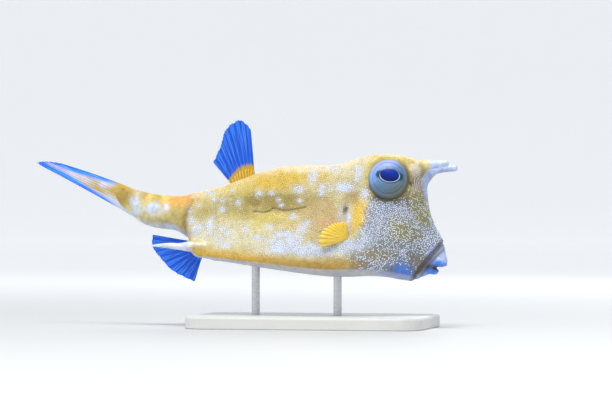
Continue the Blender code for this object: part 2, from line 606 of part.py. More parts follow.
def main():
    clear_scene()
    materials = {
        "flesh": finish_of("yellow skin", FLESH_YELLOW, 0.5),
        "pale": finish_of("pale blue skin", PALE_BLUE, 0.4),
        "fin": finish_of("fin membrane", FIN_BLUE, 0.3),
        "lobe": finish_of("fin base skin", LOBE_YELLOW, 0.5),
        "eye": finish_of("eye", EYE_GREY, 0.1),
        "steel": finish_of("steel", STEEL, 0.3, 1.0),
        "white": finish_of("white lacquer", BASE_WHITE, 0.4),
    }
    pose = bpy.data.objects.new("swimming_pose", None)
    bpy.context.scene.collection.objects.link(pose)
    pose.location = Vector(FISH_PLACE) * MM
    pose.rotation_euler = Euler((-RIGHT_SIDE_UP, NOSE_DOWN, 0.0))

    flesh("tail_stem", STEM, np.linspace(0, len(STEM) - 1, 12), materials["flesh"], pose)
    trunk_at = [*np.linspace(0, 3, 9), *np.linspace(3.5, HEAD_START, 13)]
    head_at = [*np.linspace(HEAD_START, 12, 8), *np.linspace(12.4, len(CARAPACE) - 1, 16)]
    trunk = flesh("trunk", CARAPACE, trunk_at, materials["flesh"], pose, GAP)
    head = flesh("head", CARAPACE, head_at, materials["flesh"], pose)
    snout = flesh("snout", SNOUT, np.linspace(0, len(SNOUT) - 1, 8), materials["pale"], pose)

    horns, spines = [], []
    for side, word in ((-1, "right"), (1, "left")):
        horns.append(outgrowth("horn_" + word, HORN_PATH, HORN_RADII, side, materials["pale"], pose))
        spines.append(outgrowth("spine_" + word, SPINE_PATH, SPINE_RADII, side, materials["pale"], pose))
    boolean(head, horns, "UNION", "horn_roots")
    boolean(trunk, spines, "UNION", "spine_roots")
    boolean(head, add_eyes(materials, pose) + add_nostrils(pose), "DIFFERENCE", "face_cuts")
    lips = [
        lip("lip_upper", UPPER_LIP, UPPER_LIP_RADII, materials["pale"], pose),
        lip("lip_lower", LOWER_LIP, LOWER_LIP_RADII, materials["pale"], pose),
    ]
    boolean(snout, [pocket_for(part) for part in lips], "DIFFERENCE", "lip_pockets")
    cuts = add_fins(materials, pose) + add_gills(pose) + add_stand(materials, pose, trunk)
    boolean(trunk, cuts, "DIFFERENCE", "trunk_cuts")
    add_tail(materials, pose)


main()
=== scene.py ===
"""A longhorn cowfish, life size, swimming with its tail swung up, on a plain display stand.

The fish is drawn in its own frame in millimetres (+X to the snout, +Y to its left, +Z up) and is set
in its pose by on_stand, which gives places in the model's frame in metres.
"""

import math

import bmesh
import bpy
import numpy as np
from mathutils import Euler, Matrix, Vector


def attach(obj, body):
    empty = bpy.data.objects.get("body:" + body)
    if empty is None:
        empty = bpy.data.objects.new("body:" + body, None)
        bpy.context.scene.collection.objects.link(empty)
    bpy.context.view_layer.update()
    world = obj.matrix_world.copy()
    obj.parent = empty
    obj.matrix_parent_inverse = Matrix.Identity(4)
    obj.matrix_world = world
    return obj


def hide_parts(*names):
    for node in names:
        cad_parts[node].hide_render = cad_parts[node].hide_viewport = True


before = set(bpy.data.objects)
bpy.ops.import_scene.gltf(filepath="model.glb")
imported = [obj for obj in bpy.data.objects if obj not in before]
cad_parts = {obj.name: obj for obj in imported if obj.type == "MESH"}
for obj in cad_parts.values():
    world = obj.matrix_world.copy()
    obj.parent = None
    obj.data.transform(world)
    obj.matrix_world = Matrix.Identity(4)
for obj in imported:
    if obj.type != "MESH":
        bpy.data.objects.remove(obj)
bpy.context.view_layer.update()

# The hide
# One skin over the stem, the bony box, the snout and the lips. The box is a rigid shell of fused
# plates, sharp along its ridges; the stem comes out of its rear opening and the soft snout out of its
# front one. It is lofted in three lengths, fused into one shell with all its roots, and then creased.

MM = 0.001
STANCE = Matrix.Translation((0.06027, 0.0025, 0.076)) @ Euler(
    (-math.radians(4.0), math.radians(5.0), 0.0)
).to_matrix().to_4x4()
ROOF_TURN, KEEL_TURN = 0.30, 0.72
BOX_POWER = 9.0
KEEL_WIDTH, ROOF_WIDTH = 0.045, 0.07
SWAY_START, SWAY, SWAY_LENGTH = -98.0, 10.0, 120.0
VOXEL = 0.9

# rings: back point (x, z), belly point (x, z), half widths at the roof and keel ridges, crown of the
# back, sag of the belly, boxiness, rise of the keel ridge, hollow of the side
STEM = (
    ((-158.0, 12.5), (-156.0, 4.0), 0.8, 0.8, 0.0, 0.0, 0.0, 0.0, 0.0),
    ((-154.0, 12.6), (-151.0, -1.0), 2.1, 2.1, 0.0, 0.0, 0.0, 0.0, 0.0),
    ((-147.0, 12.8), (-142.4, -6.9), 3.4, 3.4, 0.0, 0.0, 0.0, 0.0, 0.0),
    ((-142.0, 12.1), (-137.6, -9.8), 4.5, 4.5, 0.0, 0.0, 0.0, 0.0, 0.0),
    ((-137.0, 11.2), (-133.0, -12.4), 5.6, 5.6, 0.0, 0.0, 0.0, 0.0, 0.0),
    ((-123.0, 9.4), (-120.5, -15.2), 7.6, 8.2, 0.0, 0.0, 0.0, 0.0, 0.0),
    ((-109.0, 9.4), (-104.0, -16.4), 8.8, 10.8, 0.0, 0.0, 0.1, 0.0, 0.0),
    ((-101.3, 10.2), (-93.9, -21.4), 9.6, 14.4, 0.2, 0.0, 0.3, 0.0, 0.0),
    ((-92.0, 10.0), (-86.0, -22.0), 8.6, 13.0, 0.2, 0.0, 0.3, 0.0, 0.0),
)
CARAPACE = (
    ((-100.9, 11.2), (-93.1, -22.6), 10.8, 16.2, 0.4, 0.0, 0.35, 0.0, 0.0),
    ((-95.5, 12.2), (-90.0, -28.4), 11.0, 21.5, 0.8, 0.2, 0.7, 0.4, 0.6),
    ((-87.5, 13.8), (-86.0, -32.2), 11.4, 25.8, 1.2, 0.4, 1.0, 1.4, 1.6),
    ((-75.0, 17.6), (-75.0, -33.6), 12.6, 28.2, 1.6, 0.8, 1.0, 1.6, 2.2),
    ((-60.0, 24.2), (-60.0, -34.2), 14.6, 30.4, 2.0, 1.2, 1.0, 1.6, 2.2),
    ((-44.0, 31.0), (-44.0, -34.8), 16.6, 32.8, 2.4, 1.6, 1.0, 1.6, 2.0),
    ((-26.0, 36.0), (-26.0, -35.4), 18.6, 35.2, 2.8, 2.0, 1.0, 1.6, 1.6),
    ((-7.0, 38.6), (-7.0, -36.0), 20.0, 36.6, 2.4, 2.2, 1.0, 1.6, 1.2),
    ((11.0, 41.0), (11.0, -36.2), 21.0, 36.6, 1.2, 2.2, 1.0, 1.5, 0.8),
    ((26.5, 47.4), (25.5, -35.2), 22.0, 35.4, -0.8, 1.8, 1.0, 1.3, 0.4),
    ((41.0, 51.6), (39.0, -33.8), 22.4, 33.0, -1.8, 1.4, 1.0, 1.0, 0.2),
    ((55.0, 52.6), (53.0, -33.8), 21.4, 29.6, -1.8, 1.2, 0.95, 0.7, 0.6),
    ((67.5, 51.0), (62.0, -35.0), 18.8, 25.6, -1.4, 0.8, 0.9, 0.4, 0.8),
    ((72.8, 46.6), (67.0, -35.6), 15.8, 22.4, -1.2, 0.4, 0.85, 0.2, 1.0),
    ((73.8, 36.5), (69.4, -36.0), 12.4, 20.4, -0.8, 0.2, 0.8, 0.0, 0.8),
    ((76.8, 21.0), (70.6, -36.2), 9.2, 18.0, -0.4, 0.0, 0.7, 0.0, 0.4),
    ((82.6, 7.0), (71.3, -36.2), 7.2, 15.6, 0.2, 0.0, 0.6, 0.0, 0.0),
    ((88.6, -2.2), (71.9, -36.0), 7.6, 13.4, 0.4, 0.0, 0.5, 0.0, 0.0),
    ((92.3, -7.4), (72.6, -35.6), 8.2, 12.0, 0.2, 0.0, 0.4, 0.0, 0.0),
)
SNOUT = (
    ((84.5, -6.5), (66.0, -32.5), 6.4, 9.6, 0.0, 0.0, 0.3, 0.0, 0.0),
    ((91.9, -8.8), (73.6, -34.8), 7.2, 10.8, 0.0, 0.0, 0.3, 0.0, 0.0),
    ((93.1, -11.4), (76.8, -33.4), 7.2, 9.4, 0.0, 0.0, 0.1, 0.0, 0.0),
    ((93.6, -14.6), (80.8, -31.2), 7.0, 8.0, 0.0, 0.0, 0.0, 0.0, 0.0),
    ((92.0, -18.0), (84.4, -29.6), 5.6, 6.0, 0.0, 0.0, 0.0, 0.0, 0.0),
)
UPPER_LIP = (
    (90.4, 0.0, -19.4, 5.1), (89.8, 2.7, -19.8, 4.7), (88.2, 4.9, -20.9, 3.5), (85.9, 6.2, -22.6, 1.9),
)
LOWER_LIP = (
    (87.0, 0.0, -26.9, 3.1), (86.2, 2.4, -27.2, 3.0), (84.8, 4.2, -27.6, 2.5), (82.4, 5.4, -27.4, 1.9),
)
# horns and spines: axis point and radius, from deep in the flesh to the tip
HORN = (
    (61.0, 13.0, 31.0, 8.0), (68.0, 14.8, 38.5, 6.6), (74.6, 16.4, 45.2, 4.7), (80.2, 17.4, 46.8, 3.1),
    (86.0, 18.0, 47.7, 2.7), (91.0, 18.4, 48.6, 2.3),
)
SPINE = (
    (-72.0, 21.0, -27.0, 4.0), (-80.0, 23.2, -27.2, 4.8), (-87.5, 25.4, -27.2, 3.9),
    (-95.0, 27.2, -27.9, 2.5), (-104.0, 28.4, -28.1, 1.9), (-115.0, 29.4, -29.2, 0.45),
)


def on_stand(points):
    """Places in the fish's frame, in millimetres, as places in the model's frame, in metres."""
    return np.asarray(points, float) * MM @ np.array(STANCE.to_3x3()).T + np.array(STANCE.translation)


def through(knots, rows, places):
    """A smooth curve through rows of values set at knots, read at places."""
    at, rows = np.asarray(knots, float), np.asarray(rows, float)
    step = np.diff(at)
    rise = np.diff(rows, axis=0) / step[:, None]
    slope = np.empty_like(rows)
    slope[0], slope[-1] = rise[0], rise[-1]
    before, after = step[:-1, None], step[1:, None]
    slope[1:-1] = (rise[:-1] * after + rise[1:] * before) / (before + after)
    places = np.clip(np.asarray(places, float), at[0], at[-1])
    cell = np.clip(np.searchsorted(at, places, side="right") - 1, 0, len(step) - 1)
    width = step[cell][:, None]
    t = (places - at[cell])[:, None] / width
    return (
        rows[cell] * (1 + 2 * t) * (1 - t) ** 2
        + slope[cell] * width * t * (1 - t) ** 2
        + rows[cell + 1] * t**2 * (3 - 2 * t)
        + slope[cell + 1] * width * t**2 * (t - 1)
    )


def swayed(points):
    """The tail bent to the fish's left behind the box."""
    moved = np.array(points, float)
    moved[..., 1] += SWAY * np.clip((SWAY_START - moved[..., 0]) / SWAY_LENGTH, 0, None) ** 2
    return moved


def loft_rings(loft, stations, turns):
    """Rings of a loft: stations count along its rows, turns go 0 (back) to 1 (belly) to 2 (back)."""
    rows = np.array([[*back, *belly, *rest] for back, belly, *rest in loft])
    middles = (rows[:, 0:2] + rows[:, 2:4]) / 2
    reach = np.hypot(*np.diff(middles, axis=0).T) + np.abs(np.diff(rows[:, 1])) * 0.5
    along = np.concatenate([[0.0], np.cumsum(reach)])
    row = through(along, rows, np.interp(stations, np.arange(len(rows)), along))[:, :, None]
    back_x, back_z, belly_x, belly_z, roof, keel, crown, sag, boxy, rise, hollow = (
        row[:, i] for i in range(11)
    )
    half = np.hypot(back_x - belly_x, back_z - belly_z) / 2
    up_x, up_z = (back_x - belly_x) / (2 * half), (back_z - belly_z) / (2 * half)
    turns = np.asarray(turns, float)
    side = np.where(turns <= 1, 1.0, -1.0)[None, :]
    turn = np.where(turns <= 1, turns, 2 - turns)[None, :]
    roof_angle, keel_angle = np.arctan2(half, roof), np.arctan2(-half, keel)
    down = np.clip((turn - ROOF_TURN) / (KEEL_TURN - ROOF_TURN), 0, 1)
    under = np.clip((turn - KEEL_TURN) / (1 - KEEL_TURN), 0, 1)
    over = np.clip(1 - turn / ROOF_TURN, 0, 1)
    angle = np.where(
        turn < ROOF_TURN,
        roof_angle + (math.pi / 2 - roof_angle) * over,
        roof_angle + (keel_angle - roof_angle) * down + (-math.pi / 2 - keel_angle) * under,
    )
    cos, sin = np.cos(angle), np.sin(angle)
    lean = np.hypot(2 * half, keel - roof)
    reach = half * (roof + keel) / lean
    pull = np.clip(cos * 2 * half + sin * (keel - roof), 0, None) / lean / reach
    box = ((np.abs(sin) / half) ** BOX_POWER + pull**BOX_POWER) ** (-1 / BOX_POWER)
    oval = 1 / np.sqrt((2 * cos / (roof + keel)) ** 2 + (sin / half) ** 2)
    radius = oval + (box - oval) * boxy
    radius = radius + rise * bell(turn, KEEL_TURN, KEEL_WIDTH)
    radius = radius + 0.5 * rise * bell(turn, ROOF_TURN, ROOF_WIDTH)
    across = radius * cos - hollow * np.sin(math.pi * down) ** 2
    above = radius * sin + crown * over**1.2 - sag * np.sin(math.pi / 2 * under)
    middle_x, middle_z = (back_x + belly_x) / 2, (back_z + belly_z) / 2
    return swayed(np.stack([middle_x + up_x * above, across * side, middle_z + up_z * above], axis=-1))


def side_of_box(x, z, side):
    """The place and outward normal of the box's side seen at x and z."""
    turns = np.arange(0.2, 0.8, 0.008)
    stations = np.arange(0.0, len(CARAPACE) - 1, 0.04)
    grid = loft_rings(CARAPACE, stations, turns)
    i, j = np.unravel_index(np.argmin(np.hypot(grid[..., 0] - x, grid[..., 2] - z)), grid.shape[:2])
    i, j = min(max(i, 1), len(stations) - 2), min(max(j, 1), len(turns) - 2)
    normal = np.cross(grid[i, j + 1] - grid[i, j - 1], grid[i + 1, j] - grid[i - 1, j])
    normal *= np.sign(normal[1]) / np.linalg.norm(normal)
    return grid[i, j] * (1, side, 1), normal * (1, side, 1)


def round_rings(rows, first, last, count, sides, side=1):
    """Rings of a round limb whose rows give its axis and radius, read from row first to row last."""
    rows = through(range(len(rows)), rows, np.linspace(first, last, count)) * (1, side, 1, 1)
    along = np.gradient(rows[:, :3], axis=0)
    along /= np.linalg.norm(along, axis=1)[:, None]
    across = np.cross(along, (0.0, 0.0, 1.0))
    across /= np.linalg.norm(across, axis=1)[:, None]
    above = np.cross(across, along)
    turn = (np.arange(sides) * 2 * math.pi / sides)[None, :, None]
    return (
        rows[:, None, :3]
        + rows[:, None, 3:] * (np.cos(turn) * across[:, None] + np.sin(turn) * above[:, None])
    )


def blunted(rings, shares=((0.97, 0.2), (0.85, 0.48), (0.62, 0.72), (0.3, 0.88)), front=True, rear=False):
    """The rings with round ends added, each share a width and a reach in end radii."""
    rings = list(rings)
    for wanted, end, inner in ((rear, 0, 1), (front, -1, -2)):
        if not wanted:
            continue
        last, middle = rings[end], rings[end].mean(axis=0)
        radius = np.linalg.norm(last - middle, axis=1).mean()
        out = middle - rings[inner].mean(axis=0)
        out /= np.linalg.norm(out)
        for share, reach in shares:
            rings.insert(
                0 if end == 0 else len(rings), middle + (last - middle) * share + out * radius * reach
            )
    return np.array(rings)


def shell(rings):
    """Points and faces of a closed tube of rings."""
    count, sides = rings.shape[:2]
    index = np.arange(count * sides).reshape(count, sides)
    turned = np.roll(index, -1, axis=1)
    walls = np.stack([index[:-1], turned[:-1], turned[1:], index[1:]], axis=-1).reshape(-1, 4)
    return rings.reshape(-1, 3), [*walls.tolist(), index[0][::-1].tolist(), index[-1].tolist()]


def mesh_from(name, points, faces):
    """A mesh with its faces turned outwards."""
    mesh = bpy.data.meshes.new(name)
    mesh.from_pydata([tuple(p) for p in np.asarray(points, float)], [], faces)
    work = bmesh.new()
    work.from_mesh(mesh)
    bmesh.ops.recalc_face_normals(work, faces=work.faces)
    work.to_mesh(mesh)
    work.free()
    return mesh


def piece_from(name, mesh):
    """An object at the origin that holds a mesh."""
    piece = bpy.data.objects.new(name, mesh)
    bpy.context.scene.collection.objects.link(piece)
    return piece


def places_of(mesh):
    """A mesh's vertex places."""
    flat = np.empty(len(mesh.vertices) * 3)
    mesh.vertices.foreach_get("co", flat)
    return flat.reshape(-1, 3)


def normals_of(mesh):
    """A mesh's vertex normals."""
    mesh.update()
    flat = np.empty(len(mesh.vertices) * 3)
    mesh.vertex_normals.foreach_get("vector", flat)
    return flat.reshape(-1, 3)


def put(mesh, points):
    """Moves a mesh's vertices."""
    mesh.vertices.foreach_set("co", np.asarray(points, np.float32).ravel())
    mesh.update()


def relaxed(mesh, points, weight, rounds):
    """The points drawn towards the middle of their neighbours, each by its weight."""
    flat = np.empty(len(mesh.edges) * 2, np.int64)
    mesh.edges.foreach_get("vertices", flat)
    a, b = flat.reshape(-1, 2).T
    size = len(points)
    count = np.bincount(flat, minlength=size)[:, None]
    weight = np.broadcast_to(np.asarray(weight, float), size)[:, None]
    for _ in range(rounds):
        total = [np.bincount(a, points[b, k], size) + np.bincount(b, points[a, k], size) for k in range(3)]
        points = points + (np.stack(total, axis=1) / count - points) * weight
    return points


def from_line(points, line):
    """How far each point is from a line of places."""
    best = np.full(len(points), 1e9)
    line = np.asarray(line, float)
    for start, end in zip(line[:-1], line[1:]):
        span = end - start
        share = np.clip((points - start) @ span / max(span @ span, 1e-9), 0, 1)
        best = np.minimum(best, np.linalg.norm(points - start - share[:, None] * span, axis=1))
    return best


def ripple(points, size, seed):
    """A smooth uneven field from about -1 to 1, whose swells are about size apart."""
    dice = np.random.default_rng(seed)
    field = np.zeros(len(points))
    for _ in range(9):
        way = dice.normal(size=3)
        way *= 2 * math.pi / (size * dice.uniform(0.7, 1.6)) / np.linalg.norm(way)
        field += np.sin(points @ way + dice.uniform(0, 6.3))
    return field / 3.6


def eased(value, low, high):
    """0 below low, 1 above high, smooth between."""
    share = np.clip((value - low) / (high - low), 0, 1)
    return share * share * (3 - 2 * share)


def bell(value, middle, width, power=2):
    """1 at the middle, falling to nothing a few widths off; a higher power gives it a flatter top."""
    return np.exp(-(((value - middle) / width) ** power))


def store(mesh, name, values):
    """Writes one number or three per vertex into a mesh's own attribute."""
    kind, slot = ("FLOAT", "value") if values.ndim == 1 else ("FLOAT_VECTOR", "vector")
    held = mesh.attributes.get(name) or mesh.attributes.new(name, kind, "POINT")
    held.data.foreach_set(slot, values.astype(np.float32).ravel())


ALL_ROUND = np.linspace(0, 2, 260, endpoint=False)
lumps = [
    loft_rings(STEM, np.linspace(0, len(STEM) - 1, 60), ALL_ROUND),
    loft_rings(CARAPACE, np.linspace(0, len(CARAPACE) - 1, 190), ALL_ROUND),
    loft_rings(SNOUT, np.linspace(0, len(SNOUT) - 1, 40), ALL_ROUND),
]
for side in (-1, 1):
    lumps.append(round_rings(HORN, 0, 2.3, 30, 36, side))
    lumps.append(round_rings(SPINE, 0, 2.3, 30, 36, side))
for lip in (UPPER_LIP, LOWER_LIP):
    whole = [(x, -y, z, r) for x, y, z, r in lip[:0:-1]] + list(lip)
    lumps.append(blunted(round_rings(whole, 0, len(whole) - 1, 40, 28), rear=True))
points, faces = [], []
for rings in lumps:
    lump_points, lump_faces = shell(rings)
    faces += [[i + len(points) for i in face] for face in lump_faces]
    points += lump_points.tolist()
hide = piece_from("hide", mesh_from("hide", points, faces))
fuse = hide.modifiers.new("fuse", "REMESH")
fuse.mode, fuse.voxel_size, fuse.adaptivity = "VOXEL", VOXEL, 0.0
fused = bpy.data.meshes.new_from_object(hide.evaluated_get(bpy.context.evaluated_depsgraph_get()))
hide.modifiers.clear()
hide.data = fused

# the mouth is worked finer than the box
work = bmesh.new()
work.from_mesh(fused)
bmesh.ops.recalc_face_normals(work, faces=work.faces)
fine = {v for v in work.verts if v.co.x > 69 and v.co.z < 1 and abs(v.co.y) < 17}
edges = [e for e in work.edges if e.verts[0] in fine and e.verts[1] in fine]
bmesh.ops.subdivide_edges(work, edges=edges, cuts=1, use_grid_fill=True)
work.to_mesh(fused)
work.free()

flesh = places_of(fused)
flesh = relaxed(fused, flesh, 0.5, 5)
brow = eased(flesh[:, 2], 28, 36) * (1 - eased(np.abs(flesh[:, 1]), 17, 21))
flesh = relaxed(fused, flesh, brow * 0.6, 14)
joins = (((71.0, 15.5, 41.0), 8.5), ((-84.0, 24.0, -27.2), 8.0))
weight = np.zeros(len(flesh))
for (x, y, z), reach in joins:
    for side in (-1, 1):
        weight = np.maximum(weight, bell(np.linalg.norm(flesh - (x, y * side, z), axis=1), 0, reach, 4))
flesh = relaxed(fused, flesh, weight * 0.6, 16)
rim = bell(flesh[:, 0] + 97.3 + 0.231 * flesh[:, 2], 0, 6.0, 4) * (0.3 + 0.7 * eased(flesh[:, 2], -10, 2))
flesh = relaxed(fused, flesh, rim * 0.6, 60)
mouth = bell(np.linalg.norm(flesh - (86.0, 0.0, -23.0), axis=1), 0, 9.0, 4)
flesh = relaxed(fused, flesh, mouth * 0.5, 7)
# the upper lip overhangs, and the skin rises in a soft roll round each eye and dips under it
EYE_CENTRE = (51.6, 23.2, 33.8)
EYE_UP, EYE_FORWARD = math.radians(7.0), math.radians(9.0)
EYE_OUT = np.array([math.sin(EYE_FORWARD), math.cos(EYE_UP), math.sin(EYE_UP)])
EYE_OUT /= np.linalg.norm(EYE_OUT)
over_lip = bell(flesh[:, 2], -22.8, 1.8) * bell(flesh[:, 1], 0, 4.5)
flesh[:, 0] += 1.1 * over_lip * eased(flesh[:, 0], 91, 94)


def folded_over(points):
    """The points with those of the right side laid over on the left."""
    return points * (1, 0, 1) + np.abs(points) * (0, 1, 0)


def off_eye(points):
    """How far each point is from the nearer eye's axis."""
    apart = folded_over(points) - np.array(EYE_CENTRE)
    depth = apart @ EYE_OUT
    return np.linalg.norm(apart - depth[:, None] * EYE_OUT, axis=1) + 99 * (depth < -14)


put(fused, flesh)
outward = normals_of(fused)
radius = off_eye(flesh)
turn = np.arctan2(flesh[:, 2] - EYE_CENTRE[2], flesh[:, 0] - EYE_CENTRE[0])
roll = 0.75 + 0.35 * np.cos(turn - 1.2) + 0.2 * np.cos(3 * turn)
lift = roll * bell(radius, 16.2, 1.3) + 0.35 * bell(radius, 19.4, 1.0) * np.clip(np.cos(turn - 1.0), 0, 1)
flesh = flesh + outward * (lift - 1.6 * (1 - eased(radius, 12.0, 14.6)))[:, None]
put(fused, flesh)


def on_flesh(x, z, side):
    """The place on the skin seen from the side at x and z."""
    near = np.hypot(flesh[:, 0] - x, flesh[:, 2] - z) + 40 * (flesh[:, 1] * side < 0)
    best = np.argsort(near)[:12]
    return flesh[best[np.argmax(flesh[best, 1] * side)]]


def drawn_through(line, count):
    """A smooth line of count places through a few."""
    return through(range(len(line)), line, np.linspace(0, len(line) - 1, count))


# creases: each a line on the skin, its width, how deep it runs, and how dark its painted shade shows
front_rim = loft_rings(CARAPACE, (17.9,), np.linspace(0, 2, 90))[0]
muzzle_fold = loft_rings(SNOUT, (2.1,), np.linspace(0, 2, 70))[0]
keel_line = loft_rings(CARAPACE, np.linspace(0, 18, 120), (KEEL_TURN,))[:, 0]
roof_line = loft_rings(CARAPACE, np.linspace(0, 14, 120), (ROOF_TURN,))[:, 0]
REAR_FOLD = ((-93.6, 7.0), (-95.8, 1.0), (-98.2, -6.0), (-98.0, -13.0), (-94.6, -19.5))
GILL = ((24.2, 11.6), (24.8, 7.2), (26.6, -1.5), (28.2, -8.6))
NOSTRIL = (68.4, 31.5)
PLATE_SEAM = (
    (-45.5, 3.5), (-41.0, 3.5), (-37.0, 3.5), (-32.5, 5.0), (-29.5, 7.0), (-21.0, 6.0), (-14.0, 7.5),
    (-6.0, 10.0),
)
CLEFT = ((83.4, 6.6, -24.6), (85.6, 5.9, -24.7), (87.6, 4.2, -25.0), (89.4, 2.0, -25.2), (90.4, 0.0, -25.3))
cleft = np.array([*CLEFT, *[(x, -y, z) for x, y, z in CLEFT[-2::-1]]])
creases = [(front_rim, 1.3, 1.5, 1.0), (muzzle_fold, 0.9, 0.6, 0.7)]
creases.append((drawn_through(cleft, 30), 0.8, 2.4, 0.95))
for side in (-1, 1):
    for line, width, depth, dark in (
        (REAR_FOLD, 0.9, 0.7, 0.35),
        (GILL, 0.8, 1.7, 0.0),
        (PLATE_SEAM, 0.45, 0.4, 1.0),
        ((NOSTRIL, NOSTRIL), 1.0, 1.3, 1.0),
        (((80.5, -22.0), (83.5, -17.6), (87.4, -13.6)), 0.5, 0.4, 0.45),
        (((89.4, -12.2), (90.6, -14.4), (90.2, -17.0)), 0.45, 0.35, 0.4),
        (((87.6, -14.6), (88.8, -16.4), (88.6, -18.6)), 0.45, 0.3, 0.35),
    ):
        line = np.array([on_flesh(x, z, side) for x, z in line])
        creases.append((drawn_through(line, 4 * len(line)), width, depth, dark))
outward = normals_of(fused)
for line, width, depth, dark in creases:
    flesh = flesh - outward * (bell(from_line(flesh, line), 0, width) * depth)[:, None]
put(fused, flesh)

# the skin's colours and a few painted shades, each with the share of its tubercles that are white; strokes
# lay them on as soft ragged ovals seen from the side: colour, x, z, reach along, reach up, strength
COATS = dict(
    fawn=(0.62, 0.52, 0.17, 0.14), cream=(0.76, 0.70, 0.48, 0.40), gold=(0.76, 0.52, 0.05, 0.03),
    lemon=(0.80, 0.64, 0.15, 0.10), olive=(0.31, 0.23, 0.02, 0.05), peach=(0.60, 0.43, 0.17, 0.03),
    pink=(0.80, 0.46, 0.28, 0.0), back=(0.95, 0.80, 0.55, 0.10), ice=(0.58, 0.67, 0.88, 0.70),
    white=(0.64, 0.71, 0.93, 0.92), ochre=(0.38, 0.24, 0.02, 0.0), umber=(0.28, 0.22, 0.10, 0.30),
    amber=(0.92, 0.62, 0.06, 0.10), tan=(0.27, 0.20, 0.11, 0.02), shadow=(0.10, 0.09, 0.05, 0.30),
    moss=(0.28, 0.25, 0.01, 0.50), slate=(0.17, 0.20, 0.18, 0.60), drab=(0.20, 0.18, 0.11, 0.18),
    azure=(0.0, 0.22, 0.98, 0.0), gill_shade=(0.02, 0.025, 0.04, 0.0), cheek=(0.14, 0.18, 0.28, 0.97),
    belly=(0.60, 0.62, 0.76, 0.0), orange=(0.86, 0.40, 0.09, 0.0), ridge=(0.74, 0.44, 0.03, 0.0),
    lavender=(0.36, 0.47, 0.90, 0.0), horn=(0.52, 0.62, 0.94, 0.0), bone=(0.66, 0.70, 0.84, 0.0),
    crease_shade=(0.06, 0.045, 0.02, 0.0), rim=(0.12, 0.09, 0.015, 0.0), rust=(0.44, 0.27, 0.05, 0.02),
)
STROKES = (
    ("gold", -35, 25, 25, 7, 0.8), ("lemon", -63, 16, 16, 6, 0.6), ("gold", -13, 29, 16, 5, 0.8),
    ("gold", 3, 32, 7, 4, 0.7), ("olive", -29, 10, 24, 6, 0.8), ("olive", -2, 14, 12, 7, 0.6),
    ("olive", -57, 5, 18, 6, 0.5), ("olive", -82, -2, 10, 6, 0.35), ("olive", -47, -1, 16, 3, 0.3),
    ("lemon", -27, 0, 16, 3, 0.7), ("gold", -11, -6, 9, 4, 0.8), ("gold", -9, -17, 6, 3, 0.8),
    ("lemon", -32, -10, 10, 4, 0.5), ("cream", -60, -10, 19, 6, 0.6), ("cream", -62, -20, 25, 6, 0.8),
    ("cream", -34, -16, 10, 6, 0.6), ("ice", -79, -14, 10, 7, 0.35), ("ice", -16, -21, 15, 4, 0.75),
    ("peach", 7, 5, 15, 9, 0.85), ("pink", 14, -2, 9, 4, 0.6), ("peach", 3, 10, 7, 5, 0.6),
    ("ice", 2, -22, 18, 5, 0.85), ("ice", 30, -17, 10, 6, 0.85), ("ice", 40, -12, 7, 7, 0.5),
    ("ochre", 24, -28, 18, 3, 0.6), ("umber", 43, -22, 12, 4, 0.6), ("amber", 32.5, 5, 6, 10, 0.95),
    ("ochre", 28, 19, 7, 4, 0.8), ("amber", 35, 16, 3, 6, 0.7), ("white", 29.5, 36, 3.7, 6.5, 0.8),
    ("white", 21, 25, 5, 3, 0.75), ("cream", 16, 36, 10, 4, 0.8), ("white", 10, 38.5, 6, 3, 0.4),
    ("lemon", 41, 49.5, 13, 4, 0.7), ("cream", 57, 50.5, 10, 3, 0.5), ("cream", 33.5, 46, 7, 4, 0.6),
    ("lemon", 67, 49, 8, 3, 0.8), ("tan", 64, 41, 5, 6, 0.85), ("tan", 71, 35.5, 7, 8.5, 0.8),
    ("umber", 69, 23.5, 10, 4, 0.8), ("shadow", 60, 18.8, 10, 3, 0.7), ("shadow", 47.5, 19.5, 6, 3, 0.5),
    ("moss", 75, 18, 7, 10, 0.5), ("moss", 77, 12, 7, 8.5, 0.75), ("moss", 65, -3, 11, 7, 0.7),
    ("moss", 60, 4, 7, 6, 0.4), ("slate", 58, -15, 13, 6, 0.7), ("slate", 50, -16.5, 7, 6, 0.4),
    ("umber", 51, -21, 9, 4, 0.55), ("drab", 76, -23, 6, 8, 0.8), ("azure", 67, -31.5, 6.0, 6.0, 0.9),
    ("ice", 20.7, 7.2, 2.2, 5.8, 0.6), ("white", 26.3, -1, 2.3, 11, 1.0),
    # the first stroke here is painted shade in the top of the gill opening
    ("gill_shade", 23.2, 9.6, 1.5, 3.6, 0.95), ("lemon", -120, 5, 30, 9, 0.6),
    ("orange", -111, 7.5, 13, 6.5, 1.0), ("orange", -103, 8, 8, 5.5, 0.9), ("lemon", -120, 7, 8, 4, 0.9),
    ("olive", -104, -4, 9, 6, 0.6), ("olive", -122, 6, 4, 5, 0.6), ("olive", -116, -13, 16, 4, 0.6),
    ("ice", -124, -2, 8, 4.5, 0.85), ("ochre", -147, 6, 10, 8, 0.95), ("ochre", -133, 8, 4, 4, 0.6),
    ("ice", -138, 0, 4, 8, 0.85), ("white", -11, -15, 7, 3.5, 0.7), ("white", 2, -21, 9, 3.5, 0.65),
    ("gold", -38, 22, 9, 4.5, 0.8), ("gold", -20, 27, 8, 4, 0.7), ("olive", -25, 13, 13, 4.5, 0.7),
    ("olive", -45, 11, 8, 4, 0.6), ("ice", -109, -16, 2.2, 4, 0.9), ("azure", -96, -18, 6, 2.5, 0.7),
    # the umber and ochre strokes behind the rear fold are partly the flap's own brown and partly painted
    # shadow of the fold
    ("umber", -95.4, -13, 1.7, 6.5, 0.75), ("ochre", -97.5, -7, 2.2, 8, 0.8),
    ("white", -113, 0, 2, 2.4, 0.8), ("cream", -88, -23, 9, 3.5, 0.9),
)
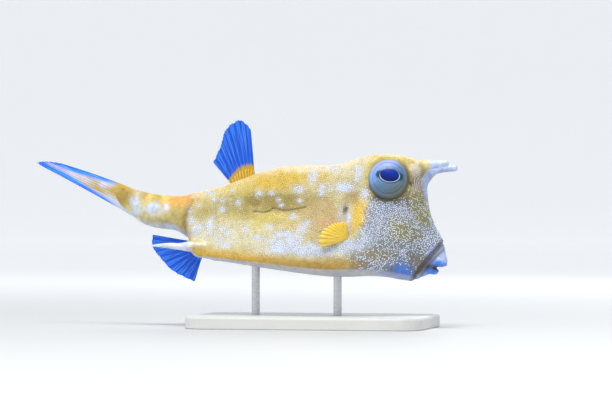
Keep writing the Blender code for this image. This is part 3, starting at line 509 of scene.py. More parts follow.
PALE_SPOTS = (
    (-12.9, 20.9, 4.2, 2.8), (-3.4, 30.2, 3.2, 5.0), (4.3, 21.8, 3.0, 3.6), (20.1, 24.9, 7.0, 2.6),
    (-42.1, 15.9, 2.2, 2.2), (-32.4, 16.5, 2.2, 1.4), (-26.4, 12.2, 1.7, 1.1), (-10.8, 12.7, 2.0, 1.4),
    (-57.2, 7.9, 1.9, 2.1), (-69.2, 8.7, 1.6, 1.6), (-76.4, 8.2, 2.0, 1.7), (-69.1, 2.1, 2.4, 2.0),
    (-63.3, 15.8, 1.4, 1.4), (-80.1, 12.6, 2.8, 1.7), (-87.4, 3.1, 1.8, 1.5), (-93.4, -1.1, 1.7, 1.7),
    (-91.1, -8.2, 2.8, 2.4), (-75.8, -8.9, 1.8, 4.0), (-87.1, -13.3, 3.4, 2.7), (-48.3, -10.9, 2.2, 2.2),
    (-65.4, -11.5, 2.8, 1.4), (-67.5, -20.5, 2.1, 1.4), (-60.0, -23.9, 3.4, 2.0), (-60.8, -15.8, 3.4, 2.0),
    (-13.7, 0.8, 3.0, 2.2), (-19.2, -13.1, 6.0, 3.2), (-22.0, -23.1, 5.4, 3.2), (-6.1, -8.2, 4.6, 3.2),
    (-3.4, -3.0, 3.0, 2.0), (-24.0, 8.5, 1.6, 1.1), (-38.0, -16.0, 3.0, 1.6), (-30.0, -8.0, 2.6, 1.4),
    (36.0, 22.0, 3.0, 4.0),
)
SWIRL_MIDDLE, SWIRL_PITCH = (76.5, 33.0), 1.35


def spot(points, x, z, along, up, ragged):
    """How far inside one soft ragged oval each point is, from 0 to 1."""
    off = np.hypot((points[:, 0] - x) / along, (points[:, 2] - z) / up) + ragged
    return 1 / (1 + np.clip(off, 0, None) ** 5)


def painted(points, outward):
    """The skin at points: rows of red, green, blue and the share of white tubercles."""
    x, y, z = points.T
    left = y > 0
    wide, small, fleck = ripple(points, 26, 3), ripple(points, 9, 5), ripple(points, 4, 8)
    ragged = 0.17 * small + 0.16 * fleck
    folded = folded_over(points)
    keel, roof = from_line(folded, keel_line), from_line(folded, roof_line)
    under = eased(-outward[:, 2], 0.45, 0.85) * eased(-z, 14, 24)
    coat = np.tile(COATS["fawn"], (len(points), 1))

    def lay(name, share):
        coat[:] += (np.array(COATS[name]) - coat) * np.clip(share, 0, 1)[:, None]

    lay("cream", eased(wide + 0.5 * small, -0.2, 1.1) * 0.6)
    lay("lemon", eased(-wide + 0.5 * small, 0.1, 1.2) * 0.5)
    # the pale back along the roof ridge is partly its own colour and partly painted highlight; the share
    # laid where the skin faces up is painted top light
    lay("back", 0.85 * bell(roof, 0, 5.5) * (1 - eased(x, 15, 45)) + 0.6 * eased(outward[:, 2], 0.3, 0.8))
    edge = 36.5 - 0.16 * np.clip(16 - z, 0, 40) + 2.5 * small + 1.5 * fleck + 6 * eased(z, 6, 22)
    cheek = eased(x, edge - 3.5, edge + 3.5) * (1 - eased(z + 2 * small, 19, 29))
    lay("cheek", cheek)
    for i, (name, a, b, along, up, strength) in enumerate(STROKES):
        shift = left * (3.0 * math.sin(2.1 * i), 2.0 * math.cos(1.3 * i))[0] if i < 20 else 0
        lay(name, strength * spot(points, a + shift, b, along, up, ragged))
    band = bell(keel, 0.5, 4.6, 4) * eased(x, -106, -88) * (1 - eased(x + 4 * small, 18, 46)) * (1 - under)
    lay("ridge", band * (0.9 + 0.1 * wide))
    lay("rust", band * 0.8 * eased(x, -45, 5))
    for i, (a, b, along, up) in enumerate(PALE_SPOTS):
        shift = left * np.array([[4.0 * math.sin(2.4 * i)], [3.0 * math.cos(1.7 * i)]])
        inside = spot(points, a + shift[0], b + shift[1], 0.9 * along, 0.9 * up, 0.9 * ragged)
        lay("white", 0.75 * inside**0.6)
    lay("belly", under)
    lay("azure", 0.4 * under * eased(x, 40, 60))
    lay("ice", eased(-outward[:, 2], 0.3, 0.8) * (1 - eased(x, -104, -98)) * 0.7)
    medial = eased(-outward[:, 1] * np.sign(y) + 0.35 * eased(outward[:, 0], 0.75, 0.95), 0.05, 0.4)
    lay("lavender", eased(x, 68, 73) * eased(z, 19, 29) * medial)
    lay("lavender", eased(x, 79, 85) * (1 - eased(z - 0.7 * (x - 97.5), -3.0, -0.5)) * (1 - 0.6 * under))
    # a painted highlight on the top of the upper lip
    lay("ice", 0.5 * spot(points, 90.0, -15.0, 3.0, 3.5, ragged))
    lay("horn", 0.6 * spot(points, 92.5, -19.0, 2.6, 3.0, ragged))
    lay("azure", 0.95 * spot(points, 87.0, -26.5, 5.5, 4.6, ragged))
    lay("azure", 0.7 * spot(points, 91.5, -22.5, 4.5, 2.0, ragged))
    lay("shadow", 0.6 * bell(off_eye(points), 15.4, 1.5) * eased(36 - z, 0, 14))
    lay("lemon", 0.6 * bell(off_eye(points), 17.0, 2.2) * eased(z - 36, 0, 8))
    # painted shade in the fold just ahead of the box's front rim
    lay("rim", 0.9 * bell(from_line(points - (0.6, 0, 0), front_rim), 0, 1.9, 4))
    # painted shade along each crease, in its fold, the mouth's cleft and the nostril; on the plate seam
    # partly the seam's own dark line
    for line, width, depth, dark in creases:
        if dark:
            lay("crease_shade", dark * bell(from_line(points, line), 0, np.hypot(width, depth) * 1.1))
    return coat


def mark(mesh, points, coat):
    """Writes a mesh's markings: its coat, the share of frost, and the fine lines ahead of the eye."""
    x, z = points[:, 0], points[:, 2]
    reach = np.hypot(x - SWIRL_MIDDLE[0], z - SWIRL_MIDDLE[1]) + 0.45 * ripple(points, 11, 4)
    lined = eased(x, 55, 60) * (1 - eased(reach, 15, 18)) * eased(off_eye(points), 16.5, 18.5)
    lined = lined * eased(z, 24, 30) * (1 - eased(x, 72, 75))
    rimmed = 97.5 + 0.699 * z - x
    bare = np.maximum(1 - eased(x + 98.3 + 0.231 * z, 0.5, 3.0), (1 - eased(rimmed, 1.0, 3.5)) * (z < -4))
    relief = (1 - bare) * eased(off_eye(points), 15.0, 16.2) * (1 - 0.8 * lined)
    store(mesh, "coat", coat[:, :3])
    store(mesh, "grain", np.stack([coat[:, 3], relief, lined], axis=1))
    store(mesh, "swirl", reach / SWIRL_PITCH)


coat = painted(flesh, normals_of(fused))
mark(fused, flesh, coat)
x, y, z = flesh.T
folded = folded_over(flesh)
fine = eased(x, 34, 40) * (1 - eased(z, 27, 33))
relief = np.empty(len(flesh) * 3, np.float32)
fused.attributes["grain"].data.foreach_get("vector", relief)
relief = relief.reshape(-1, 3)[:, 1] * (1 - 0.85 * eased(-normals_of(fused)[:, 2], 0.6, 0.9))
relief *= 1 - 0.85 * bell(from_line(folded, keel_line), 0.5, 4.2, 4) * (1 - eased(x, 35, 50))
relief *= eased(from_line(folded, np.array(HORN)[:, :3]), 6.0, 8.5)
relief *= eased(from_line(folded, np.array(SPINE)[:, :3]), 5.5, 7.5)
for line, width, depth, dark in creases:
    relief *= eased(from_line(flesh, line), width * 0.9, width * 1.6)
relief *= eased(np.hypot((x - 26.3) / 2.4, (z + 1) / 11.5), 0.8, 1.1)
relief *= eased(np.hypot((x - 64) / 9, (z + 32) / 6.5), 0.7, 1.2)
for word, own in (("right", y <= 0), ("left", y > 0)):
    for kind, share in (("cheek", fine), ("box", 1 - fine)):
        store(fused, f"{kind}_{word}", relief * share * own)
put(fused, on_stand(flesh))
fused.shade_smooth()

FROST = (0.74, 0.82, 1.0)


def wire(tree, *links):
    """Links sockets, each pair an output and an input."""
    for output, socket in links:
        tree.links.new(output, socket)


def node(tree, kind, **values):
    """A node with its settings; names ending in _in set an input by name."""
    made = tree.nodes.new(kind)
    for key, value in values.items():
        if key.endswith("_in"):
            made.inputs[key[:-3].replace("_", " ").title()].default_value = value
        else:
            setattr(made, key, value)
    return made


def blend(tree, share, below, above, kind="MIX"):
    """A colour mix; each of share, below and above is a socket or a value."""
    mix = tree.nodes.new("ShaderNodeMix")
    mix.data_type, mix.blend_type = "RGBA", kind
    for socket, value in ((mix.inputs[0], share), (mix.inputs[6], below), (mix.inputs[7], above)):
        if isinstance(value, bpy.types.NodeSocket):
            tree.links.new(value, socket)
        else:
            socket.default_value = (*value, 1.0) if isinstance(value, tuple) else value
    return mix.outputs[2]


def math_node(tree, kind, *values):
    """A math node on sockets or numbers."""
    made = tree.nodes.new("ShaderNodeMath")
    made.operation = kind
    for socket, value in zip(made.inputs, values):
        if isinstance(value, bpy.types.NodeSocket):
            tree.links.new(value, socket)
        else:
            socket.default_value = value
    return made.outputs[0]


def times(tree, first, second):
    """The product of two sockets or numbers."""
    return math_node(tree, "MULTIPLY", first, second)


def plus(tree, first, second):
    """The sum of two sockets or numbers."""
    return math_node(tree, "ADD", first, second)


def minus(tree, first, second):
    """The first socket or number less the second."""
    return math_node(tree, "SUBTRACT", first, second)


def ranged(tree, value, low, high, out_low=0.0, out_high=1.0):
    """A smooth step of a socket."""
    made = tree.nodes.new("ShaderNodeMapRange")
    made.interpolation_type = "SMOOTHSTEP"
    tree.links.new(value, made.inputs[0])
    for socket, number in zip(made.inputs[1:5], (low, high, out_low, out_high)):
        socket.default_value = number
    return made.outputs[0]


def surface(name, **values):
    """A new material, with its node tree and its shader, whose inputs are set by name."""
    made = bpy.data.materials.new(name)
    made.use_nodes = True
    shader = made.node_tree.nodes["Principled BSDF"]
    for key, value in values.items():
        shader.inputs[key.replace("_", " ").title().replace("Ior", "IOR")].default_value = value
    return made, made.node_tree, shader


def noise_at(tree, place, scale, detail, roughness=0.5):
    """Noise over a place."""
    made = node(tree, "ShaderNodeTexNoise", scale_in=scale, detail_in=detail, roughness_in=roughness)
    wire(tree, (place, made.inputs["Vector"]))
    return made.outputs[0]


def object_place(tree):
    """Each point's place in its own object."""
    return node(tree, "ShaderNodeTexCoord").outputs["Object"]


def stored(tree, name):
    """A mesh's own attribute, as a colour or a number."""
    return node(tree, "ShaderNodeAttribute", attribute_name=name).outputs


def parts_of(tree, name):
    """The three values of a mesh's own vector attribute."""
    split = tree.nodes.new("ShaderNodeSeparateXYZ")
    wire(tree, (stored(tree, name)["Vector"], split.inputs[0]))
    return split.outputs


def hide_material(name):
    """Skin over bone: the mesh's own colours, with painted shade between its tubercles, unevenly deep."""
    made, tree, shader = surface(
        name, coat_weight=0.2, coat_roughness=0.25, subsurface_weight=0.10, subsurface_scale=0.002
    )
    place = object_place(tree)
    mottle, fine = noise_at(tree, place, 220.0, 5.0, 0.65), noise_at(tree, place, 1500.0, 3.0)
    frost, relief, lined = parts_of(tree, "grain")
    tint = blend(tree, ranged(tree, mottle, 0.3, 0.7), (0.80, 0.78, 0.70), (1.12, 1.12, 1.12))
    hue = blend(tree, 1.0, stored(tree, "coat")["Vector"], tint, "MULTIPLY")
    # painted shade between the tubercles, where the relief is
    deep = times(tree, relief, ranged(tree, fine, 0.35, 0.65, 0.34, 0.12))
    hue = blend(tree, deep, hue, (0.20, 0.14, 0.04))
    pale = times(tree, ranged(tree, plus(tree, frost, minus(tree, fine, 0.5)), 0.55, 1.0), 0.10)
    hue = blend(tree, pale, hue, FROST)
    wander = times(tree, minus(tree, mottle, 0.5), 1.1)
    turns = times(tree, plus(tree, stored(tree, "swirl")["Fac"], wander), 2 * math.pi)
    lines = times(tree, ranged(tree, math_node(tree, "SINE", turns), 0.0, 0.9), lined)
    hue = blend(tree, times(tree, lines, 0.8), hue, (0.62, 0.62, 0.86))
    wire(tree, (hue, shader.inputs["Base Color"]))
    wire(tree, (ranged(tree, fine, 0.3, 0.7, 0.34, 0.5), shader.inputs["Roughness"]))
    plates = node(tree, "ShaderNodeTexVoronoi", feature="DISTANCE_TO_EDGE", scale_in=110.0)
    wire(tree, (place, plates.inputs["Vector"]))
    seams = times(tree, ranged(tree, plates.outputs["Distance"], 0.0, 0.08), relief)
    height = plus(tree, times(tree, seams, 0.35), times(tree, lines, 0.8))
    height = plus(tree, height, times(tree, fine, 0.3))
    bump = node(tree, "ShaderNodeBump", strength_in=0.6, distance_in=0.0005)
    wire(tree, (height, bump.inputs["Height"]), (bump.outputs[0], shader.inputs["Normal"]))
    return made


HIDE = hide_material("hide")
fused.materials.clear()
fused.materials.append(HIDE)
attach(hide, "root")
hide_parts("tail_stem", "trunk", "head", "snout", "lip_upper", "lip_lower")

# Tubercles
# Small bony domes under the skin that stud the whole box, finer and closer on the cheeks. Many are
# frosted white. They are spread over the hide evenly, thinned to nothing on the soft parts.

def group_ends(tree, given, gives):
    """A node group's inputs and outputs, each a name and a kind, as its two end nodes."""
    for way, sockets in (("INPUT", given), ("OUTPUT", gives)):
        for name, kind in sockets:
            tree.interface.new_socket(name, in_out=way, socket_type="NodeSocket" + kind)
    return tree.nodes.new("NodeGroupInput"), tree.nodes.new("NodeGroupOutput")


def tubercle_tree():
    """Geometry group: domes set evenly over a surface where its mask allows them."""
    tree = bpy.data.node_groups.new("tubercles", "GeometryNodeTree")
    wanted = (
        ("Surface", "Geometry"), ("Mask", "String"), ("Spacing", "Float"), ("Width", "Float"),
        ("Height", "Float"), ("Detail", "Int"), ("Seed", "Int"), ("Finish", "Material"),
    )
    start, end = group_ends(tree, wanted, (("Domes", "Geometry"),))
    given = start.outputs
    mask = node(tree, "GeometryNodeInputNamedAttribute", data_type="FLOAT")
    spread = node(tree, "GeometryNodeDistributePointsOnFaces", distribute_method="POISSON")
    spread.inputs["Density Max"].default_value = 4.0e6
    wire(
        tree,
        (given["Mask"], mask.inputs["Name"]),
        (given["Surface"], spread.inputs["Mesh"]),
        (given["Seed"], spread.inputs["Seed"]),
        (given["Spacing"], spread.inputs["Distance Min"]),
        (mask.outputs["Attribute"], spread.inputs["Density Factor"]),
    )
    chance = node(tree, "FunctionNodeRandomValue", data_type="FLOAT")
    kept = node(
        tree, "GeometryNodeStoreNamedAttribute", data_type="FLOAT", domain="POINT", name_in="chance"
    )
    wire(
        tree,
        (spread.outputs["Points"], kept.inputs["Geometry"]),
        (given["Seed"], chance.inputs["Seed"]),
        (chance.outputs["Value"], kept.inputs["Value"]),
    )
    ball = node(tree, "GeometryNodeMeshIcoSphere", radius_in=1.0)
    split = node(tree, "ShaderNodeSeparateXYZ")
    crown = node(
        tree, "GeometryNodeStoreNamedAttribute", data_type="FLOAT", domain="POINT", name_in="crown"
    )
    wire(
        tree,
        (given["Detail"], ball.inputs["Subdivisions"]),
        (ball.outputs["Mesh"], crown.inputs["Geometry"]),
        (node(tree, "GeometryNodeInputPosition").outputs[0], split.inputs[0]),
        (split.outputs[2], crown.inputs["Value"]),
    )
    grow = node(tree, "FunctionNodeRandomValue", data_type="FLOAT")
    grow.inputs["Min"].default_value, grow.inputs["Max"].default_value = 0.8, 1.12
    sizes = node(tree, "ShaderNodeCombineXYZ")
    wide = times(tree, given["Width"], grow.outputs["Value"])
    tall = times(tree, given["Height"], grow.outputs["Value"])
    tall = times(tree, tall, mask.outputs["Attribute"])
    wire(tree, (wide, sizes.inputs[0]), (wide, sizes.inputs[1]), (tall, sizes.inputs[2]))
    stand = node(tree, "GeometryNodeInstanceOnPoints")
    wire(
        tree,
        (kept.outputs[0], stand.inputs["Points"]),
        (crown.outputs[0], stand.inputs["Instance"]),
        (spread.outputs["Rotation"], stand.inputs["Rotation"]),
        (sizes.outputs[0], stand.inputs["Scale"]),
    )
    real = node(tree, "GeometryNodeRealizeInstances")
    smooth = node(tree, "GeometryNodeSetShadeSmooth")
    finish = node(tree, "GeometryNodeSetMaterial")
    wire(tree, (stand.outputs[0], real.inputs[0]), (real.outputs[0], smooth.inputs[0]))
    wire(tree, (smooth.outputs[0], finish.inputs[0]), (given["Finish"], finish.inputs["Material"]))
    wire(tree, (finish.outputs[0], end.inputs[0]))
    return tree


def grain_group():
    """Shader group: an uneven fine grain over a place, and the normals that it gives the surface."""
    tree = bpy.data.node_groups.new("surface grain", "ShaderNodeTree")
    wanted = (
        ("Place", "Vector"), ("Scale", "Float"), ("Detail", "Float"), ("Strength", "Float"),
        ("Depth", "Float"),
    )
    start, end = group_ends(tree, wanted, (("Grain", "Float"), ("Normal", "Vector")))
    given = start.outputs
    noise, bump = tree.nodes.new("ShaderNodeTexNoise"), tree.nodes.new("ShaderNodeBump")
    wire(
        tree,
        (given["Place"], noise.inputs["Vector"]),
        (given["Scale"], noise.inputs["Scale"]),
        (given["Detail"], noise.inputs["Detail"]),
        (noise.outputs[0], bump.inputs["Height"]),
        (given["Strength"], bump.inputs["Strength"]),
        (given["Depth"], bump.inputs["Distance"]),
        (noise.outputs[0], end.inputs["Grain"]),
        (bump.outputs[0], end.inputs["Normal"]),
    )
    return tree


def grained(tree, shader, place, scale, detail, strength, depth):
    """Lays the grain group over a place, roughens the surface with it, and gives the grain's value."""
    laid = tree.nodes.new("ShaderNodeGroup")
    laid.node_tree = GRAIN
    for name, value in (("Scale", scale), ("Detail", detail), ("Strength", strength), ("Depth", depth)):
        laid.inputs[name].default_value = value
    wire(tree, (place, laid.inputs["Place"]), (laid.outputs["Normal"], shader.inputs["Normal"]))
    return laid.outputs["Grain"]


def tubercle_material(name, lift, faint):
    """Skin over each dome: a tint of the coat, or frosted by chance where the coat says so."""
    made, tree, shader = surface(name, coat_weight=0.2, coat_roughness=0.25)
    fine = grained(tree, shader, object_place(tree), 1100.0, 3.0, 0.3, 0.0002)
    coat, share_frosted = stored(tree, "coat")["Vector"], parts_of(tree, "grain")[0]
    lucky = ranged(tree, minus(tree, share_frosted, stored(tree, "chance")["Fac"]), -0.14, 0.14)
    tint = blend(tree, 1.0, coat, (lift, lift, lift * 0.94), "MULTIPLY")
    ground = blend(tree, ranged(tree, fine, 0.3, 0.7), coat, tint)
    top = ranged(tree, plus(tree, stored(tree, "crown")["Fac"], times(tree, fine, 0.3)), 0.0, 0.5)
    share = times(tree, times(tree, lucky, top), ranged(tree, share_frosted, 0.1, 0.9, faint, 1.0))
    wire(tree, (blend(tree, share, ground, FROST), shader.inputs["Base Color"]))
    wire(tree, (ranged(tree, fine, 0.3, 0.7, 0.3, 0.46), shader.inputs["Roughness"]))
    return made


GRAIN = grain_group()
TUBERCLE_TREE = tubercle_tree()
for kind, spacing, width, height, detail, lift, faint, solids in (
    ("cheek", 1.02, 0.47, 0.34, 2, 1.6, 0.9, ("head",)),
    ("box", 1.42, 0.68, 0.13, 1, 1.06, 0.3, ("trunk", "head")),
):
    finish = tubercle_material(kind + " tubercles", lift, faint)
    for seed, word in enumerate(("right", "left")):
        grower = piece_from("grower", fused)
        growth = grower.modifiers.new("tubercles", "NODES")
        growth.node_group = TUBERCLE_TREE
        for socket in TUBERCLE_TREE.interface.items_tree:
            if socket.in_out == "INPUT" and socket.name != "Surface":
                growth[socket.identifier] = {
                    "Mask": f"{kind}_{word}", "Spacing": spacing * MM, "Width": width * MM,
                    "Height": height * MM,
                    "Detail": detail, "Seed": seed + 5, "Finish": finish,
                }[socket.name]
        domes = bpy.data.meshes.new_from_object(grower.evaluated_get(bpy.context.evaluated_depsgraph_get()))
        bpy.data.objects.remove(grower)
        piece = piece_from(f"tubercles_{kind}_{word}", domes)
        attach(piece, "root")
        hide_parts(*solids)

# Horns and spines
# A pair of bony horns over the eyes and a pair of spines at the rear of the keels, all sheathed in thin
# pale skin. Each grows out of the hide's own root, and shows faint grooves along its length.

def limb(name, rows, side, sharp, replaced, tip, root_share):
    """A horn or spine from just inside its root to its tip, in its tip's colour beyond root_share."""
    rings_count, sides = 90, 40
    rings = round_rings(rows, 1.7, len(rows) - 1, rings_count, sides, side)
    middles = rings.mean(axis=1, keepdims=True)
    along = np.linspace(1.7, len(rows) - 1, rings_count)[:, None, None]
    turn = (np.arange(sides) * 2 * math.pi / sides)[None, :, None]
    fit = 1 - 0.07 * (1 - eased(along, 1.75, 2.2))
    grooves = 1 + 0.012 * np.sin(7 * turn + 1.5 * along) * eased(along, 2.0, 3.0)
    knob = 1 if sharp else 1 + 0.10 * bell(along, 4.8, 0.3)
    rings = middles + (rings - middles) * fit * grooves * knob
    tip_shares = ((0.7, 0.5), (0.3, 0.9)) if sharp else (
        (0.97, 0.2), (0.85, 0.45), (0.62, 0.62), (0.3, 0.72)
    )
    rings = blunted(rings, tip_shares)
    made = mesh_from(name, *shell(rings))
    here = places_of(made)
    length = np.append(np.linspace(0, 1, rings_count), np.ones(len(rings) - rings_count))
    length = np.repeat(length, sides)
    coat = painted(here, normals_of(made))
    streak = ripple(here * (0.25, 1, 1), 3.2, 6)
    inner = eased(-normals_of(made)[:, 1] * side, -0.2, 0.5) * 0.9
    share = np.maximum(eased(length + 0.03 * streak, root_share, root_share + 0.16), inner)[:, None]
    pale = np.array(COATS[tip]) * (1 + 0.10 * streak[:, None] + 0.10 * ripple(here, 14, 2)[:, None])
    coat += (pale - coat) * share
    mark(made, here, coat)
    store(made, "grain", np.zeros((len(here), 3)))
    put(made, on_stand(here))
    made.shade_smooth()
    made.materials.append(SHEATH)
    piece = piece_from(name, made)
    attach(piece, "root")
    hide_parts(replaced)


SIDES = ((-1, "right"), (1, "left"))
SHEATH = HIDE.copy()
SHEATH.name = "horn sheath"
for side, word in SIDES:
    limb("horn_" + word + "_sheath", HORN, side, False, "horn_" + word, "horn", 0.30)
    limb("spine_" + word + "_sheath", SPINE, side, True, "spine_" + word, "bone", 0.0)

# Eyes
# A big ball that stands well out of its socket: one smooth slate blue dome, with a dark blue oval pupil
# in a thin white ring. Soft folds of skin run round its wall and are deepest below and ahead.

PUPIL_PLACE, PUPIL_SIZE = (0.8, 1.6), (6.75, 4.6)
FOLD_TURN = math.radians(-42.0)


def dish(name, radii, heights, side, shape):
    """A closed dish round the eye's axis; shape adds height from (forward, up) in the eye's plane."""
    sides = 144
    turn = np.arange(sides) * 2 * math.pi / sides
    flat_x, flat_y = np.outer(radii, np.cos(turn)), np.outer(radii, np.sin(turn))
    rise = np.asarray(heights)[:, None] + shape(flat_x, flat_y)
    out = EYE_OUT * (1, side, 1)
    ahead = np.array([1.0, 0.0, 0.0]) - out * out[0]
    ahead /= np.linalg.norm(ahead)
    up = np.cross(out, ahead) * -side
    here = flat_x[..., None] * ahead + flat_y[..., None] * up + rise[..., None] * out
    here = np.array(EYE_CENTRE) * (1, side, 1) + here
    made = mesh_from(name, *shell(here))
    gaze = np.stack([flat_x.ravel(), flat_y.ravel(), np.hypot(flat_x, flat_y).ravel()], axis=1)
    store(made, "gaze", gaze)
    put(made, on_stand(places_of(made)))
    made.shade_smooth()
    return piece_from(name, made)


def folds(flat_x, flat_y):
    """Crescent folds of the wall, deepest below and ahead of the eye."""
    radius, turn = np.hypot(flat_x, flat_y), np.arctan2(flat_y, flat_x)
    off = np.abs((turn - FOLD_TURN + math.pi) % (2 * math.pi) - math.pi)
    dips = 0.5 * bell(radius, 11.6, 0.5) + 0.35 * bell(radius, 13.0, 0.4) + 0.3 * bell(radius, 9.3, 0.45)
    return -0.6 * bell(off, 0, 1.2) * eased(radius, 8.0, 9.0) * dips


def pupil_swell(flat_x, flat_y):
    """The ball's own relief: the pupil stands a little proud in a fine groove, with the folds outside it."""
    x, y = flat_x - PUPIL_PLACE[0], flat_y - PUPIL_PLACE[1]
    swell = 0.45 * bell(np.hypot(x / 7.2, y / 5.2), 0, 1, 4)
    groove = 0.25 * bell(np.hypot(x / PUPIL_SIZE[0], y / PUPIL_SIZE[1]), 1.3, 0.12)
    return swell + folds(flat_x, flat_y) - groove


def eye_material(name, wall_only):
    """The eye's wet surface, coloured from its own forward and up places, with a painted sheen high at the
    rear.
    """
    made, tree, shader = surface(name, roughness=0.36, specular_ior_level=0.2)
    ahead, up, radius = parts_of(tree, "gaze")
    vein = grained(tree, shader, object_place(tree), 380.0, 5.0, 0.25, 0.0004)
    jitter = times(tree, minus(tree, vein, 0.5), 0.6)
    low_ahead = plus(tree, times(tree, ahead, 0.05), times(tree, up, -0.055))
    low_ahead = plus(tree, low_ahead, jitter)
    hue = blend(tree, ranged(tree, low_ahead, -0.75, 0.2), (0.22, 0.36, 0.74), (0.11, 0.19, 0.30))
    hue = blend(tree, ranged(tree, low_ahead, 0.2, 0.85), hue, (0.13, 0.17, 0.17))
    # a painted lavender sheen high at the rear of the dome
    sheen_reach = plus(tree, minus(tree, up, times(tree, ahead, 0.5)), times(tree, jitter, 6.0))
    hue = blend(tree, ranged(tree, sheen_reach, 5.0, 12.0, 0.0, 0.6), hue, (0.36, 0.40, 0.80))
    ring = math_node(tree, "SINE", times(tree, plus(tree, radius, times(tree, jitter, 1.5)), 2.9))
    ringed = times(tree, ranged(tree, radius, 8.4, 9.6, 0.0, 0.35), ranged(tree, low_ahead, -0.1, 0.6))
    hue = blend(tree, times(tree, ranged(tree, ring, 0.2, 1.0), ringed), hue, (0.07, 0.11, 0.15))
    if wall_only:
        rim = ranged(tree, plus(tree, radius, times(tree, jitter, 1.6)), 12.9, 14.4)
        hue = blend(tree, rim, hue, (0.17, 0.14, 0.06))
    else:
        x = math_node(tree, "DIVIDE", minus(tree, ahead, PUPIL_PLACE[0]), PUPIL_SIZE[0])
        y = math_node(tree, "DIVIDE", minus(tree, up, PUPIL_PLACE[1]), PUPIL_SIZE[1])
        oval = math_node(tree, "SQRT", plus(tree, times(tree, x, x), times(tree, y, y)))
        level = ranged(tree, math_node(tree, "ABSOLUTE", y), 0.3, 0.85, 1.0, 0.0)
        near = ranged(tree, plus(tree, oval, times(tree, jitter, 0.6)), 1.3, 1.62, 1.0, 0.0)
        hue = blend(tree, times(tree, level, near), hue, (0.008, 0.045, 0.07))
        halo = ranged(tree, plus(tree, oval, jitter), 1.05, 1.42, 0.6, 0.0)
        hue = blend(tree, halo, hue, (0.03, 0.08, 0.20))
        low_ring = minus(tree, y, times(tree, x, 0.25))
        low_ring = ranged(tree, low_ring, 0.7, -0.3, 0.0, 1.0)
        white = times(tree, ranged(tree, oval, 1.05, 1.09, 1.0, 0.0), low_ring)
        hue = blend(tree, white, hue, (0.62, 0.72, 0.95))
        high = ranged(tree, plus(tree, y, jitter), -0.8, 0.8)
        pupil = blend(tree, high, (0.0006, 0.008, 0.12), (0.0015, 0.030, 0.34))
        pupil = blend(tree, ranged(tree, oval, 0.8, 1.0), pupil, (0.002, 0.008, 0.09))
        hue = blend(tree, ranged(tree, oval, 0.98, 1.04, 1.0, 0.0), hue, pupil)
    wire(tree, (hue, shader.inputs["Base Color"]))
    return made


EYE_GLASS, EYE_WALL = eye_material("eye ball", False), eye_material("eye wall", True)
ball_radii = np.append(10.9 * np.sin(np.linspace(0.02, math.pi / 2, 46)), (10.9, 10.6))
ball_heights = 0.75 + 5.95 * np.sqrt(1 - (ball_radii / 13.6) ** 2)
ball_heights[-2:] = (2.2, -3.0)
WALL = (
    (10.3, -2.0), (10.6, 2.6), (11.1, 4.05), (12.1, 3.85), (13.1, 2.95), (13.9, 1.5), (14.2, -0.4),
    (14.3, -3.4),
)
wall_rows = drawn_through(WALL, 66)
for side, word in SIDES:
    ball = dish("eye_ball_" + word, ball_radii, ball_heights, side, pupil_swell)
    ball.data.materials.append(EYE_GLASS)
    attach(ball, "root")
    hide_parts("eye_" + word)
    wall = dish("eye_wall_" + word, wall_rows[:, 0], wall_rows[:, 1], side, folds)
    wall.data.materials.append(EYE_WALL)
    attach(wall, "root")
    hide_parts("eye_ring_" + word)

# Fins
# Thin clear blue skin stretched over soft rays that fork towards the edge, each fin on a scalloped
# fleshy yellow lobe. The tail fin is a closed fan, pale along its middle and clear at its edges.

MEMBRANE, RAY_THICK = 0.5, 0.95
# fins: rays, the fan's middle, both ends of its root, the lobe's thickness and its reach across the fan,
# the fan's edge as a turn and a reach, and how the fin bows
DORSAL = dict(
    rays=10, centre=(-59.5, 24.5), root=((-51.4, 27.4), (-66.8, 20.0)), flesh=5.0,
    lobe=((0, 0.175), (1, 0.235)),
    fan=(
        (0.0, 87.2, 37.6), (0.14, 93.0, 42.0), (0.28, 99.4, 44.8), (0.42, 107.1, 43.4), (0.55, 115.2, 40.2),
        (0.68, 121.5, 36.4), (0.8, 128.5, 31.8), (0.9, 142.0, 28.4), (1.0, 154.1, 27.2),
    ),
    lift=lambda u, v: 1.2 * np.sin(3 * u + 1) * v * v,
)
ANAL = dict(
    rays=10, centre=(-88.5, -27.0), root=((-91.0, -22.6), (-84.2, -30.2)), flesh=3.6,
    lobe=((0, 0.20), (1, 0.28)),
    fan=(
        (0.0, 169.0, 36.0), (0.18, 183.0, 34.7), (0.32, 191.6, 31.9), (0.48, 205.5, 28.0),
        (0.68, 227.8, 25.1), (0.85, 247.4, 23.4), (1.0, 270.5, 24.3),
    ),
    lift=lambda u, v: -1.0 * np.sin(3 * u) * v * v,
)
PECTORAL = dict(
    rays=14, centre=(0.0, 0.0), root=((2.4, 2.6), (2.0, -3.0)), flesh=3.2,
    lobe=((0.0, 0.36), (0.33, 0.38), (0.62, 0.52), (0.82, 0.72), (1.0, 0.88)),
    fan=(
        (0.0, 92.0, 22.5), (0.33, 124.7, 27.7), (0.62, 156.6, 28.2), (0.82, 182.0, 25.5), (1.0, 209.0, 22.3)
    ),
    lift=lambda u, v: 1.5 * np.sin(math.pi * v),
)
PECTORAL_PLACE, PECTORAL_OUT, PECTORAL_LEAN = (25.4, -9.8), math.radians(25.0), math.radians(10.0)


def ray_field(u, v, rays, fork=0.42):
    """1 along the rays and 0 between them; each ray forks once or twice towards the edge."""
    gap = 1.0 / (rays - 1)
    off = np.abs(u / gap - np.round(u / gap))
    split = 0.17 * eased(v, fork, fork + 0.3)
    second = 0.075 * eased(v, 0.72, 0.95)
    near = np.minimum(np.abs(off - split - second), np.abs(off - split + second))
    return np.exp(-((near / (0.10 - 0.045 * eased(v, 0.1, 0.8))) ** 2))


